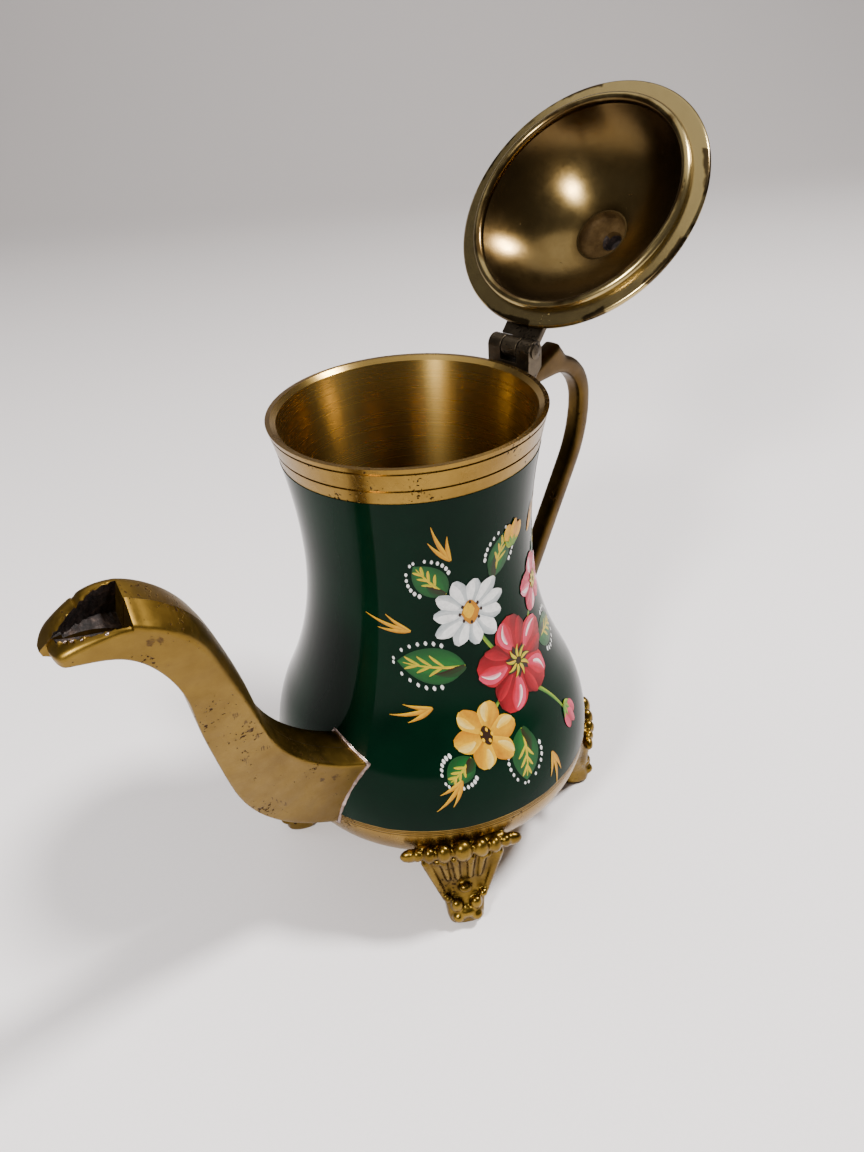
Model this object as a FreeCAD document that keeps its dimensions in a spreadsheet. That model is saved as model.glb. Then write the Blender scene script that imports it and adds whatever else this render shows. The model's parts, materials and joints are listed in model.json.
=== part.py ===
import FreeCAD, Part
import math
import os
import Sketcher

# A small footed brass coffee pot: turned body, two-part soldered spout, cast handle and feet, hinged lid.
# Millimetres. The body axis is Z, the table is z = 0, the spout points to -X and the handle to +X.

doc = FreeCAD.newDocument("coffee_pot")

sizes = {
    # body
    "rim_radius": 31.0,
    "rim_height": 122.2,
    "waist_radius": 26.85,
    "waist_height": 90.0,
    "belly_radius": 41.0,
    "belly_height": 31.0,
    "shoulder_arc": 43.0,
    "keel_arc": 16.0,
    "base_height": 19.0,
    "wall": 1.9,
    "base_land": 1.6,
    "rim_groove_depth": 0.35,
    "rim_groove_width": 0.5,
    "rim_bevel_drop": 0.9,
    "rim_bevel_width": 1.1,
    "upper_groove_drop": 1.0,
    "lower_groove_drop": 5.2,
    "base_dish_radius": 21.5,
    "base_dish_rise": 3.0,
    "solder_gap": 0.05,
    "cut_margin": 1.0,
    # spout, in its own plane: out from the body axis and up
    "spout_width": 11.0,
    "spout_wall": 1.6,
    "spout_turn": 7.9,
    "spout_skew": -24.9,
    "spout_lean": 15.0,
    "spout_root_out": 38.0,
    "spout_root_height": 42.0,
    "spout_inset": 28.0,
    "spout_top_root_height": 48.1,
    "spout_top_bend_out": 57.0,
    "spout_top_bend_height": 84.9,
    "spout_top_crook_out": 63.0,
    "spout_top_crook_height": 105.0,
    "spout_mouth_out": 75.6,
    "spout_mouth_height": 122.6,
    "spout_tip_out": 88.8,
    "spout_tip_height": 119.0,
    "spout_tip_depth": 2.2,
    "spout_tip_width": 8.6,
    "spout_chin_out": 76.8,
    "spout_chin_height": 115.0,
    "spout_low_crook_out": 69.0,
    "spout_low_crook_height": 90.0,
    "spout_low_bend_out": 64.3,
    "spout_low_bend_height": 63.0,
    "spout_low_root_height": 24.6,
    "spout_top_sweep": 44.7,
    "spout_top_crook_arc": 23.5,
    "spout_low_sweep": 47.9,
    "spout_low_crook_arc": 36.8,
    "spout_hole_radius": 3.5,
    "spout_hole_rise": 3.0,
    "spout_lip": 0.8,
    "spout_throat_out": 81.0,
    "spout_throat_width": 5.6,
    # handle
    "handle_width": 4.6,
    "handle_depth": 4.2,
    "handle_top_drop": 7.3,
    "handle_top_reach": 50.6,
    "handle_crook_arc": 13.3,
    "handle_back_arc": 32.0,
    "handle_slant": 32.0,
    "handle_tail": 56.0,
    "handle_inset": 25.0,
    "spur_front": 43.0,
    "spur_tip_out": 52.0,
    "spur_back": 55.5,
    "spur_rise": 3.6,
    # feet, each level standing out from the belly
    "foot_height": 25.0,
    "foot_crown_width": 28.0,
    "foot_crown_thick": 8.0,
    "foot_crown_stand": 1.0,
    "foot_collar_height": 18.0,
    "foot_collar_width": 21.0,
    "foot_collar_stand": 1.6,
    "foot_shank_height": 10.0,
    "foot_shank_width": 12.0,
    "foot_shank_stand": 0.4,
    "foot_ankle_height": 4.5,
    "foot_ankle_width": 9.0,
    "foot_sole_width": 8.5,
    "foot_sole_length": 9.0,
    "foot_sole_stand": 3.4,
    "foot_spread": 45.0,
    "foot_turn": 8.0,
    # hinge
    "hinge_out": 37.0,
    "hinge_rise": 1.7,
    "hinge_width": 12.6,
    "hinge_middle": 4.4,
    "hinge_side_gap": 0.3,
    "knuckle_radius": 2.5,
    "pin_radius": 1.1,
    "pin_fit": 0.05,
    "pin_head_radius": 1.7,
    "pin_head": 0.6,
    "leaf_inset": 25.0,
    "tab_thick": 1.5,
    "tab_reach": 4.4,
    "tab_width": 11.0,
    "stop_thick": 1.6,
    "stop_gap": 0.1,
    # lid, drawn closed
    "lid_open": 132.3,
    "lid_gap": 0.15,
    "lid_radius": 31.9,
    "lid_flange": 1.5,
    "lid_wall": 1.4,
    "lid_depth": 15.5,
    "bead_inner": 25.6,
    "bead_outer": 28.1,
    "bead_drop": 1.8,
    "finial_socket": 6.8,
    "finial_base_radius": 8.8,
    "finial_base": 1.4,
    "finial_bore": 5.6,
    "finial_bore_depth": 6.0,
    "finial_cup_radius": 7.2,
    "finial_cove": 1.0,
    "finial_neck_radius": 3.6,
    "finial_neck_height": 9.0,
    "finial_ball_radius": 6.4,
    "finial_ball_height": 12.8,
    "finial_collar_height": 17.6,
    "finial_collar_radius": 2.4,
    "finial_tip_height": 23.6,
    "finial_tip_radius": 0.9,
}

sheet = doc.addObject("Spreadsheet::Sheet", "dims")
for row, (name, size) in enumerate(sizes.items(), start=1):
    sheet.set(f"A{row}", name)
    sheet.set(f"B{row}", str(size))
    sheet.setAlias(f"B{row}", name)
doc.recompute()


def value(expression):
    return float(sheet.evalExpression(expression))


def origin_plane(body, role):
    return next(plane for plane in body.Origin.OriginFeatures if plane.Role == role)


def new_body(name):
    return doc.addObject("PartDesign::Body", name)


def new_sketch(body, name, role, lift="0"):
    sketch = body.newObject("Sketcher::SketchObject", name)
    sketch.AttachmentSupport = [(origin_plane(body, role), "")]
    sketch.MapMode = "FlatFace"
    if lift != "0":
        sketch.setExpression("AttachmentOffset.Base.z", lift)
    return sketch


def arc_between(start, end, radius, turn):
    # turn is 1 where the outline bends to the left on its way from start to end, and -1 to the right
    chord = end - start
    half = chord.Length / 2
    to_centre = FreeCAD.Vector(-chord.y, chord.x, 0).normalize() * turn
    centre = (start + end) * 0.5 + to_centre * math.sqrt(max(radius * radius - half * half, 0))
    first = start if turn > 0 else end
    last = end if turn > 0 else start
    angles = [math.atan2(point.y - centre.y, point.x - centre.x) for point in (first, last)]
    circle = Part.Circle(centre, FreeCAD.Vector(0, 0, 1), radius)
    return Part.ArcOfCircle(circle, angles[0], angles[1])


def hold_point(sketch, edge, end, across, up):
    for kind, axis, expression in (("DistanceX", -2, across), ("DistanceY", -1, up)):
        if expression == "0":
            sketch.addConstraint(Sketcher.Constraint("PointOnObject", edge, end, axis))
        else:
            size = value(expression)
            number = sketch.addConstraint(Sketcher.Constraint(kind, -1, 1, edge, end, size))
            sketch.setExpression(f"Constraints[{number}]", expression)


def draw(sketch, corners, closed=True):
    # each corner is (across, up) or (across, up, radius, turn); the last two bend the edge to the next corner
    points = [FreeCAD.Vector(value(corner[0]), value(corner[1]), 0) for corner in corners]
    count = len(corners) if closed else len(corners) - 1
    ends = []
    for index in range(count):
        corner = corners[index]
        start = points[index]
        end = points[(index + 1) % len(points)]
        if len(corner) == 2:
            edge = sketch.addGeometry(Part.LineSegment(start, end))
            ends.append((edge, 1, 2))
        else:
            arc = arc_between(start, end, value(corner[2]), corner[3])
            edge = sketch.addGeometry(arc)
            ends.append((edge, 1, 2) if corner[3] > 0 else (edge, 2, 1))
    joins = count if closed else count - 1
    for index in range(joins):
        here = ends[index]
        after = ends[(index + 1) % count]
        sketch.addConstraint(Sketcher.Constraint("Coincident", here[0], here[2], after[0], after[1]))
    for index in range(count):
        edge, first, last = ends[index]
        corner = corners[index]
        hold_point(sketch, edge, first, corner[0], corner[1])
        if len(corner) > 2:
            number = sketch.addConstraint(Sketcher.Constraint("Radius", edge, value(corner[2])))
            sketch.setExpression(f"Constraints[{number}]", corner[2])
    if not closed:
        hold_point(sketch, ends[-1][0], ends[-1][2], corners[-1][0], corners[-1][1])
    return sketch


def rectangle(left, right, low, high):
    return [(left, low), (right, low), (right, high), (left, high)]


def revolve(body, name, corners):
    sketch = draw(new_sketch(body, name + "_outline", "XZ_Plane"), corners)
    turned = body.newObject("PartDesign::Revolution", name)
    turned.Profile = sketch
    turned.ReferenceAxis = (sketch, ["V_Axis"])
    turned.Angle = 360
    return turned


def groove(body, name, corners):
    sketch = draw(new_sketch(body, name + "_outline", "XZ_Plane"), corners)
    cut = body.newObject("PartDesign::Groove", name)
    cut.Profile = sketch
    cut.ReferenceAxis = (sketch, ["V_Axis"])
    cut.Angle = 360
    return cut


def pad(body, name, role, corners, length, symmetric=False, reverse=False, lift="0"):
    sketch = draw(new_sketch(body, name + "_outline", role, lift), corners)
    feature = body.newObject("PartDesign::Pad", name)
    feature.Profile = sketch
    feature.setExpression("Length", length)
    feature.SideType = "Symmetric" if symmetric else "One side"
    feature.Reversed = reverse
    return feature


def pocket(body, name, role, corners, length, symmetric=False, reverse=False, lift="0"):
    sketch = draw(new_sketch(body, name + "_outline", role, lift), corners)
    feature = body.newObject("PartDesign::Pocket", name)
    feature.Profile = sketch
    feature.setExpression("Length", length)
    feature.SideType = "Symmetric" if symmetric else "One side"
    feature.Reversed = reverse
    return feature


def cut(label, base, tool):
    feature = doc.addObject("Part::Cut", label)
    feature.Base = base
    feature.Tool = tool
    return feature


# The body outline is four tangent arcs: keel below the belly, shoulder above it, then two waist arcs.
waist_step = "(dims.belly_radius - dims.waist_radius)"
waist_lift = "(dims.waist_height - dims.belly_height)"
arc_sum = f"(({waist_step}^2 + {waist_lift}^2) / (2 * {waist_step}))"
waist_arc = f"({arc_sum} - dims.shoulder_arc)"
flare_step = "(dims.rim_radius - dims.waist_radius)"
flare_lift = "(dims.rim_height - dims.waist_height)"
flare_arc = f"(({flare_step}^2 + {flare_lift}^2) / (2 * {flare_step}))"
keel_centre = "(dims.belly_radius - dims.keel_arc)"
shoulder_centre = "(dims.belly_radius - dims.shoulder_arc)"
waist_centre = f"(dims.waist_radius + {waist_arc})"
flare_centre = f"(dims.waist_radius + {flare_arc})"


def keel_reach(depth, height):
    return f"({keel_centre} + sqrt((dims.keel_arc - {depth})^2 - (dims.belly_height - {height})^2))"


def flare_reach(depth, height):
    return f"({flare_centre} - sqrt(({flare_arc} + {depth})^2 - ({height} - dims.waist_height)^2))"


def body_outline(depth, bottom, top):
    # the outline from bottom to top, a given depth inside the outer surface
    share = f"((dims.shoulder_arc - {depth}) / {arc_sum})"
    meet_out = f"({shoulder_centre} + ({waist_centre} - {shoulder_centre}) * {share})"
    meet_up = f"(dims.belly_height + {waist_lift} * {share})"
    return [
        (keel_reach(depth, bottom), bottom, f"dims.keel_arc - {depth}", 1),
        (f"dims.belly_radius - {depth}", "dims.belly_height", f"dims.shoulder_arc - {depth}", 1),
        (meet_out, meet_up, f"{waist_arc} + {depth}", -1),
        (f"dims.waist_radius - {depth}", "dims.waist_height", f"{flare_arc} + {depth}", -1),
        (flare_reach(depth, top), top),
    ]


land_top = "(dims.base_height + dims.base_land)"
hole_radius = keel_reach("dims.wall", "dims.base_height")

# The solid envelope of the body, which everything soldered to it is fitted against.
envelope = new_body("body_envelope")
revolve(envelope, "envelope", [("0", "dims.base_height")]
        + body_outline("0", "dims.base_height", "dims.rim_height") + [("0", "dims.rim_height")])

# body_shell
shell = new_body("shell_body")
revolve(shell, "shell_solid", [("0", "dims.base_height")]
        + body_outline("0", "dims.base_height", "dims.rim_height") + [("0", "dims.rim_height")])
groove(shell, "shell_inside", [("0", land_top)]
       + body_outline("dims.wall", land_top, "dims.rim_height") + [("0", "dims.rim_height")])
bevel_low = "(dims.rim_height - dims.rim_bevel_drop)"
bevel_out = flare_reach("dims.wall", bevel_low)
groove(shell, "rim_bevel", [
    ("0", bevel_low),
    (bevel_out, bevel_low),
    (f"{bevel_out} + dims.rim_bevel_width", "dims.rim_height"),
    ("0", "dims.rim_height"),
])
groove(shell, "base_hole", rectangle("0", hole_radius, "dims.base_height", land_top))
for ring in ("upper", "lower"):
    ring_top = f"dims.rim_height - dims.{ring}_groove_drop"
    ring_low = f"{ring_top} - dims.rim_groove_width"
    ring_out = flare_reach("0", f"({ring_low})")
    groove(shell, f"{ring}_rim_groove",
           rectangle(f"{ring_out} - dims.rim_groove_depth", "dims.rim_radius + dims.cut_margin", ring_low, ring_top))


def spout_place():
    # the spout is soldered on askew: rooted to one side of the handle plane, pointing back across it and leaning
    turn = math.radians(180 + value("dims.spout_turn"))
    heading = 180 + value("dims.spout_turn") + value("dims.spout_skew")
    reach = value("dims.spout_root_out")
    height = value("dims.spout_root_height")
    root = FreeCAD.Vector(reach * math.cos(turn), reach * math.sin(turn), height)
    spin = FreeCAD.Rotation(FreeCAD.Vector(0, 0, 1), heading)
    lean = FreeCAD.Rotation(FreeCAD.Vector(1, 0, 0), -value("dims.spout_lean"))
    set_down = spin.multiply(lean)
    return FreeCAD.Placement(root - set_down.multVec(FreeCAD.Vector(reach, 0, height)), set_down)


pour_hole = doc.addObject("Part::Cylinder", "pour_hole")
pour_hole.setExpression("Radius", "dims.spout_hole_radius")
pour_hole.setExpression("Height", "2 * dims.wall + dims.spout_root_out")
root_middle = "(dims.spout_top_root_height + dims.spout_low_root_height) / 2"
hole_height = value(f"{root_middle} + dims.spout_hole_rise")
lying = FreeCAD.Placement(FreeCAD.Vector(value("dims.waist_radius"), 0, hole_height),
                          FreeCAD.Rotation(FreeCAD.Vector(0, 1, 0), 90))
pour_hole.Placement = spout_place().multiply(lying)
body_shell = cut("body_shell", shell, pour_hole)

# base_dish: a disc soldered into the land of the shell, dished upwards
base_dish = new_body("base_dish")
dish_edge = f"{hole_radius} - dims.solder_gap"
dish_sag = "((dims.base_dish_rise^2 + dims.base_dish_radius^2) / (2 * dims.base_dish_rise))"
revolve(base_dish, "dish", [
    ("0", "dims.base_height + dims.base_dish_rise", dish_sag, -1),
    ("dims.base_dish_radius", "dims.base_height"),
    (dish_edge, "dims.base_height"),
    (dish_edge, land_top),
    ("dims.base_dish_radius", land_top, dish_sag, 1),
    ("0", f"{land_top} + dims.base_dish_rise"),
])

# Spout outline: root inside the body, up the S to the beak and back along the underside.
spout_outline = [
    ("dims.spout_inset", "dims.spout_low_root_height", "dims.spout_low_sweep", 1),
    ("dims.spout_low_bend_out", "dims.spout_low_bend_height"),
    ("dims.spout_low_crook_out", "dims.spout_low_crook_height", "dims.spout_low_crook_arc", -1),
    ("dims.spout_chin_out", "dims.spout_chin_height"),
    ("dims.spout_tip_out", "dims.spout_tip_height - dims.spout_tip_depth"),
    ("dims.spout_tip_out", "dims.spout_tip_height"),
    ("dims.spout_mouth_out", "dims.spout_mouth_height", "dims.spout_top_crook_arc", 1),
    ("dims.spout_top_crook_out", "dims.spout_top_crook_height"),
    ("dims.spout_top_bend_out", "dims.spout_top_bend_height", "dims.spout_top_sweep", -1),
    ("dims.spout_inset", "dims.spout_top_root_height"),
]
# The passage keeps the spout wall on every side, measured along the level at the bends.
passage_outline = [
    ("dims.spout_inset", "dims.spout_low_root_height + dims.spout_wall", "dims.spout_low_sweep", 1),
    ("dims.spout_low_bend_out - dims.spout_wall", "dims.spout_low_bend_height"),
    ("dims.spout_low_crook_out - dims.spout_wall", "dims.spout_low_crook_height",
     "dims.spout_low_crook_arc + dims.spout_wall", -1),
    ("dims.spout_chin_out - dims.spout_wall", "dims.spout_chin_height"),
    ("dims.spout_mouth_out", "dims.spout_mouth_height - dims.spout_wall",
     "dims.spout_top_crook_arc - dims.spout_wall", 1),
    ("dims.spout_top_crook_out + dims.spout_wall", "dims.spout_top_crook_height"),
    ("dims.spout_top_bend_out + dims.spout_wall", "dims.spout_top_bend_height", "dims.spout_top_sweep", -1),
    ("dims.spout_inset", "dims.spout_top_root_height - dims.spout_wall"),
]
half_width = "(dims.spout_width / 2)"
channel_half = "(dims.spout_width / 2 - dims.spout_wall)"
tip_half = "(dims.spout_tip_width / 2)"
beak_top = "(dims.spout_mouth_height + dims.cut_margin)"


def spout_half(label, side):
    half = new_body(label + "_casting")
    away = side < 0
    sign = "" if side > 0 else "-"
    pad(half, label + "_block", "XZ_Plane", spout_outline, half_width, reverse=not away)
    pocket(half, label + "_passage", "XZ_Plane", passage_outline, channel_half, reverse=away)
    pocket(half, label + "_beak_side", "XY_Plane", [
        ("dims.spout_mouth_out", f"{sign}1 * {half_width}"),
        ("dims.spout_tip_out", f"{sign}1 * {tip_half}"),
        ("dims.spout_tip_out + dims.cut_margin", f"{sign}1 * {tip_half}"),
        ("dims.spout_tip_out + dims.cut_margin", f"{sign}1 * {half_width}"),
    ], "3 * dims.spout_width", lift=beak_top)
    pocket(half, label + "_mouth", "XY_Plane", [
        ("dims.spout_mouth_out - dims.spout_wall", "0"),
        ("dims.spout_tip_out - dims.spout_wall", "0"),
        ("dims.spout_mouth_out - dims.spout_wall", f"{sign}1 * {channel_half}"),
    ], f"{beak_top} - dims.spout_tip_height + dims.spout_lip", lift=beak_top)
    pocket(half, label + "_throat", "XY_Plane", [
        ("dims.spout_mouth_out - dims.spout_wall", "0"),
        ("dims.spout_throat_out", "0"),
        ("dims.spout_throat_out", f"{sign}0.5 * dims.spout_throat_width"),
        ("dims.spout_mouth_out - dims.spout_wall", f"{sign}1 * {channel_half}"),
    ], f"{beak_top} - dims.spout_chin_height - dims.spout_wall", lift=beak_top)
    half.Placement = spout_place()
    return cut(label, half, envelope)


spout_left_half = spout_half("spout_left_half", 1)
spout_right_half = spout_half("spout_right_half", -1)

# handle: one bar swept from under the rim round to the belly, with a pointed thumb spur on top
slant = "dims.handle_slant * 1 deg"
handle_top = "(dims.rim_height - dims.handle_top_drop)"
crook_up = f"({handle_top} - dims.handle_crook_arc)"
crook_out = "(dims.handle_top_reach + dims.handle_crook_arc)"
back_out = f"({crook_out} - dims.handle_back_arc * (1 - cos({slant})))"
back_up = f"({crook_up} - dims.handle_back_arc * sin({slant}))"
bar = new_body("handle_bar")
path = draw(new_sketch(bar, "handle_path", "XZ_Plane"), [
    ("dims.handle_inset", handle_top),
    ("dims.handle_top_reach", handle_top, "dims.handle_crook_arc", -1),
    (crook_out, crook_up, "dims.handle_back_arc", -1),
    (back_out, back_up),
    (f"{back_out} - dims.handle_tail * sin({slant})", f"{back_up} - dims.handle_tail * cos({slant})"),
], closed=False)
section = draw(new_sketch(bar, "handle_section", "YZ_Plane", "dims.handle_inset"), rectangle(
    "-0.5 * dims.handle_width", "0.5 * dims.handle_width",
    f"{handle_top} - 0.5 * dims.handle_depth", f"{handle_top} + 0.5 * dims.handle_depth"))
sweep = bar.newObject("PartDesign::AdditivePipe", "handle_sweep")
sweep.Profile = section
sweep.Spine = path
spur_tip = f"{handle_top} + 0.5 * dims.handle_depth + dims.spur_rise"
pad(bar, "thumb_spur", "XZ_Plane", [
    ("dims.spur_front", handle_top),
    ("dims.spur_back", handle_top),
    ("dims.spur_back", f"{handle_top} + 0.3 * dims.handle_depth"),
    ("dims.spur_tip_out", spur_tip),
    ("dims.spur_front", f"{handle_top} + 0.5 * dims.handle_depth"),
], "dims.handle_width", symmetric=True)
handle = cut("handle", bar, envelope)


# feet: a broad crown under the belly tapering to a small paw
def foot_section(body, name, height, width, outer, inner):
    half = f"0.5 * {width}"
    return draw(new_sketch(body, name, "XY_Plane", height), rectangle(inner, outer, f"-1 * {half}", half))


def foot(label, heading):
    casting = new_body(label + "_casting")
    sole_out = "dims.belly_radius + dims.foot_sole_stand"
    shank_out = "dims.belly_radius + dims.foot_shank_stand"
    collar_out = "dims.belly_radius + dims.foot_collar_stand"
    crown_out = "dims.belly_radius + dims.foot_crown_stand"
    sole_in = f"{sole_out} - dims.foot_sole_length"
    crown_in = f"{crown_out} - dims.foot_crown_thick"
    levels = [
        ("sole", "0", "dims.foot_sole_width", sole_out, sole_in),
        ("ankle", "dims.foot_ankle_height", "dims.foot_ankle_width", sole_out, sole_in),
        ("shank", "dims.foot_shank_height", "dims.foot_shank_width", shank_out, sole_in),
        ("collar", "dims.foot_collar_height", "dims.foot_collar_width", collar_out, crown_in),
        ("crown", "dims.foot_height", "dims.foot_crown_width", crown_out, crown_in),
    ]
    sections = [foot_section(casting, f"{label}_{name}", *rest) for name, *rest in levels]
    loft = casting.newObject("PartDesign::AdditiveLoft", label + "_loft")
    loft.Profile = sections[0]
    loft.Sections = sections[1:]
    loft.Ruled = True
    casting.Placement = FreeCAD.Placement(FreeCAD.Vector(), FreeCAD.Rotation(FreeCAD.Vector(0, 0, 1), heading))
    return cut(label, casting, envelope)


# the ring of feet is soldered on a little round from the handle plane
spread = value("dims.foot_spread")
ring_turn = value("dims.foot_turn")
foot_headings = {
    "foot_front_left": 180 - spread + ring_turn,
    "foot_front_right": 180 + spread + ring_turn,
    "foot_rear_left": spread + ring_turn,
    "foot_rear_right": ring_turn - spread,
}
feet = [foot(label, heading) for label, heading in foot_headings.items()]

# hinge
hinge_up = "(dims.rim_height + dims.hinge_rise)"
knuckle_left = "dims.hinge_out - dims.knuckle_radius"
knuckle_right = "dims.hinge_out + dims.knuckle_radius"
leaf_low = f"({handle_top} + 0.5 * dims.handle_depth + dims.solder_gap)"
lid_low = "(dims.rim_height + dims.lid_gap)"
lid_top = f"({lid_low} + dims.lid_flange)"
pin_bore = "(dims.pin_radius + dims.pin_fit)"
middle_slot = "dims.hinge_middle + 2 * dims.hinge_side_gap"
slot_floor = f"({hinge_up} - dims.knuckle_radius - dims.hinge_side_gap)"
tab_back = f"({lid_top} + dims.solder_gap + dims.tab_thick - {hinge_up} + dims.stop_gap)"
stop_front = "(dims.hinge_out + dims.knuckle_radius + dims.hinge_side_gap)"
stop_rear = f"({stop_front} + dims.stop_thick)"


def stop_height(out):
    # the open lid's tab leans on the stop, so the top of the stop lies in the plane of the tab
    lean = "(dims.lid_open * 1 deg)"
    return f"({hinge_up} + ({tab_back} - ({out} - dims.hinge_out) * sin({lean})) / cos({lean}))"


def round_feature(body, name, kind, radius, length):
    # a round boss or hole on the hinge axis
    sketch = new_sketch(body, name + "_outline", "XZ_Plane")
    centre = FreeCAD.Vector(value("dims.hinge_out"), value(hinge_up), 0)
    edge = sketch.addGeometry(Part.Circle(centre, FreeCAD.Vector(0, 0, 1), value(radius)))
    hold_point(sketch, edge, 3, "dims.hinge_out", hinge_up)
    number = sketch.addConstraint(Sketcher.Constraint("Radius", edge, value(radius)))
    sketch.setExpression(f"Constraints[{number}]", radius)
    feature = body.newObject(kind, name)
    feature.Profile = sketch
    feature.setExpression("Length", length)
    feature.SideType = "Symmetric"
    return feature


leaf = new_body("body_leaf")
pad(leaf, "body_leaf_plate", "XZ_Plane", [
    ("dims.leaf_inset", leaf_low),
    ("dims.hinge_out", leaf_low),
    (knuckle_right, f"{leaf_low} + dims.knuckle_radius"),
    (knuckle_right, hinge_up),
    (knuckle_left, hinge_up),
    (knuckle_left, "dims.rim_height - dims.knuckle_radius"),
    ("dims.leaf_inset", "dims.rim_height - dims.knuckle_radius"),
], "dims.hinge_width", symmetric=True)
round_feature(leaf, "body_knuckles", "PartDesign::Pad", "dims.knuckle_radius", "dims.hinge_width")
pocket(leaf, "lid_knuckle_slot", "XZ_Plane", rectangle(
    f"{knuckle_left} - dims.cut_margin", f"{knuckle_right} + dims.cut_margin",
    slot_floor, f"{hinge_up} + dims.knuckle_radius + dims.cut_margin"), middle_slot, symmetric=True)
pad(leaf, "lid_stop", "XZ_Plane", [
    ("dims.hinge_out", leaf_low),
    (stop_rear, leaf_low),
    (stop_rear, stop_height(stop_rear)),
    (stop_front, stop_height(stop_front)),
    (stop_front, slot_floor),
    ("dims.hinge_out", slot_floor),
], "dims.hinge_middle", symmetric=True)
round_feature(leaf, "body_pin_hole", "PartDesign::Pocket", pin_bore, "2 * dims.hinge_width")
hinge_body_leaf = cut("hinge_body_leaf", leaf, envelope)


def open_place():
    # the lid stands open in the photograph: its pieces are drawn closed and turned about the hinge pin
    pivot = FreeCAD.Vector(value("dims.hinge_out"), 0, value(hinge_up))
    turn = FreeCAD.Rotation(FreeCAD.Vector(0, 1, 0), value("dims.lid_open"))
    return FreeCAD.Placement(FreeCAD.Vector(), turn, pivot)


hinge_lid_leaf = new_body("hinge_lid_leaf")
tab_end = "dims.lid_radius - dims.tab_reach"
tab_start = f"({knuckle_left} - dims.hinge_side_gap)"
round_feature(hinge_lid_leaf, "lid_knuckle", "PartDesign::Pad", "dims.knuckle_radius", "dims.hinge_middle")
pad(hinge_lid_leaf, "lid_tab", "XY_Plane", [
    (tab_end, "-0.5 * dims.tab_width"),
    (tab_start, "-0.5 * dims.tab_width"),
    (tab_start, "-0.5 * dims.hinge_middle"),
    ("dims.hinge_out", "-0.5 * dims.hinge_middle"),
    ("dims.hinge_out", "0.5 * dims.hinge_middle"),
    (tab_start, "0.5 * dims.hinge_middle"),
    (tab_start, "0.5 * dims.tab_width"),
    (tab_end, "0.5 * dims.tab_width"),
], "dims.tab_thick", lift=f"{lid_top} + dims.solder_gap")
round_feature(hinge_lid_leaf, "lid_pin_hole", "PartDesign::Pocket", pin_bore, "2 * dims.hinge_width")
hinge_lid_leaf.Placement = open_place()

hinge_pin = new_body("hinge_pin")
pin_half = "(dims.hinge_width / 2 + dims.solder_gap)"
revolve(hinge_pin, "pin", [
    ("0", f"-1 * {pin_half} - dims.pin_head"),
    ("dims.pin_head_radius", f"-1 * {pin_half} - 0.5 * dims.pin_head"),
    ("dims.pin_head_radius", f"-1 * {pin_half}"),
    ("dims.pin_radius", f"-1 * {pin_half}"),
    ("dims.pin_radius", pin_half),
    ("dims.pin_head_radius", pin_half),
    ("dims.pin_head_radius", f"{pin_half} + 0.5 * dims.pin_head"),
    ("0", f"{pin_half} + dims.pin_head"),
])
hinge_pin.Placement = FreeCAD.Placement(
    FreeCAD.Vector(value("dims.hinge_out"), 0, value(hinge_up)),
    FreeCAD.Rotation(FreeCAD.Vector(1, 0, 0), 90))

# lid: flat flange on the rim, bead that drops into the mouth, dome above
lid_dome = new_body("lid_dome")
dome_arc = "((dims.bead_inner^2 + dims.lid_depth^2) / (2 * dims.lid_depth))"
dome_outer = f"({dome_arc} + dims.lid_wall)"
dome_centre = f"({lid_low} + dims.lid_depth - {dome_arc})"
inner_socket_up = f"({dome_centre} + sqrt({dome_arc}^2 - dims.finial_socket^2))"
outer_socket_up = f"({dome_centre} + sqrt({dome_outer}^2 - dims.finial_socket^2))"
dome_foot = f"sqrt({dome_outer}^2 - ({lid_top} - {dome_centre})^2)"
bead_round = "((dims.bead_outer - dims.bead_inner) / 2)"
revolve(lid_dome, "lid", [
    ("dims.finial_socket", inner_socket_up, dome_arc, -1),
    ("dims.bead_inner", lid_low),
    ("dims.bead_inner", f"{lid_low} - dims.bead_drop + {bead_round}", bead_round, 1),
    (f"dims.bead_inner + {bead_round}", f"{lid_low} - dims.bead_drop", bead_round, 1),
    ("dims.bead_outer", f"{lid_low} - dims.bead_drop + {bead_round}"),
    ("dims.bead_outer", lid_low),
    ("dims.lid_radius - 0.5 * dims.lid_flange", lid_low, "0.5 * dims.lid_flange", 1),
    ("dims.lid_radius", f"{lid_low} + 0.5 * dims.lid_flange", "0.5 * dims.lid_flange", 1),
    ("dims.lid_radius - 0.5 * dims.lid_flange", lid_top),
    (dome_foot, lid_top, dome_outer, 1),
    ("dims.finial_socket", outer_socket_up),
])
lid_dome.Placement = open_place()

# finial: a turned knob whose hollow spigot sits in the top of the dome
lid_finial = new_body("lid_finial")
spigot = "(dims.finial_socket - dims.solder_gap)"
seat = f"({dome_centre} + {dome_outer} + dims.solder_gap)"
bore_top = f"{outer_socket_up} + dims.finial_bore_depth"
revolve(lid_finial, "finial", [
    ("0", bore_top),
    ("dims.finial_bore", bore_top),
    ("dims.finial_bore", inner_socket_up),
    (spigot, inner_socket_up),
    (spigot, seat),
    ("dims.finial_base_radius", seat),
    ("dims.finial_base_radius", f"{seat} + dims.finial_base"),
    ("dims.finial_cup_radius", f"{seat} + dims.finial_base + dims.finial_cove"),
    ("dims.finial_cup_radius", f"{bore_top} + dims.finial_base"),
    ("dims.finial_neck_radius", f"{seat} + dims.finial_neck_height"),
    ("dims.finial_ball_radius", f"{seat} + dims.finial_ball_height"),
    ("dims.finial_collar_radius", f"{seat} + dims.finial_collar_height"),
    ("dims.finial_tip_radius", f"{seat} + dims.finial_tip_height"),
    ("0", f"{seat} + dims.finial_tip_height"),
])
lid_finial.Placement = open_place()

doc.recompute()

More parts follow.
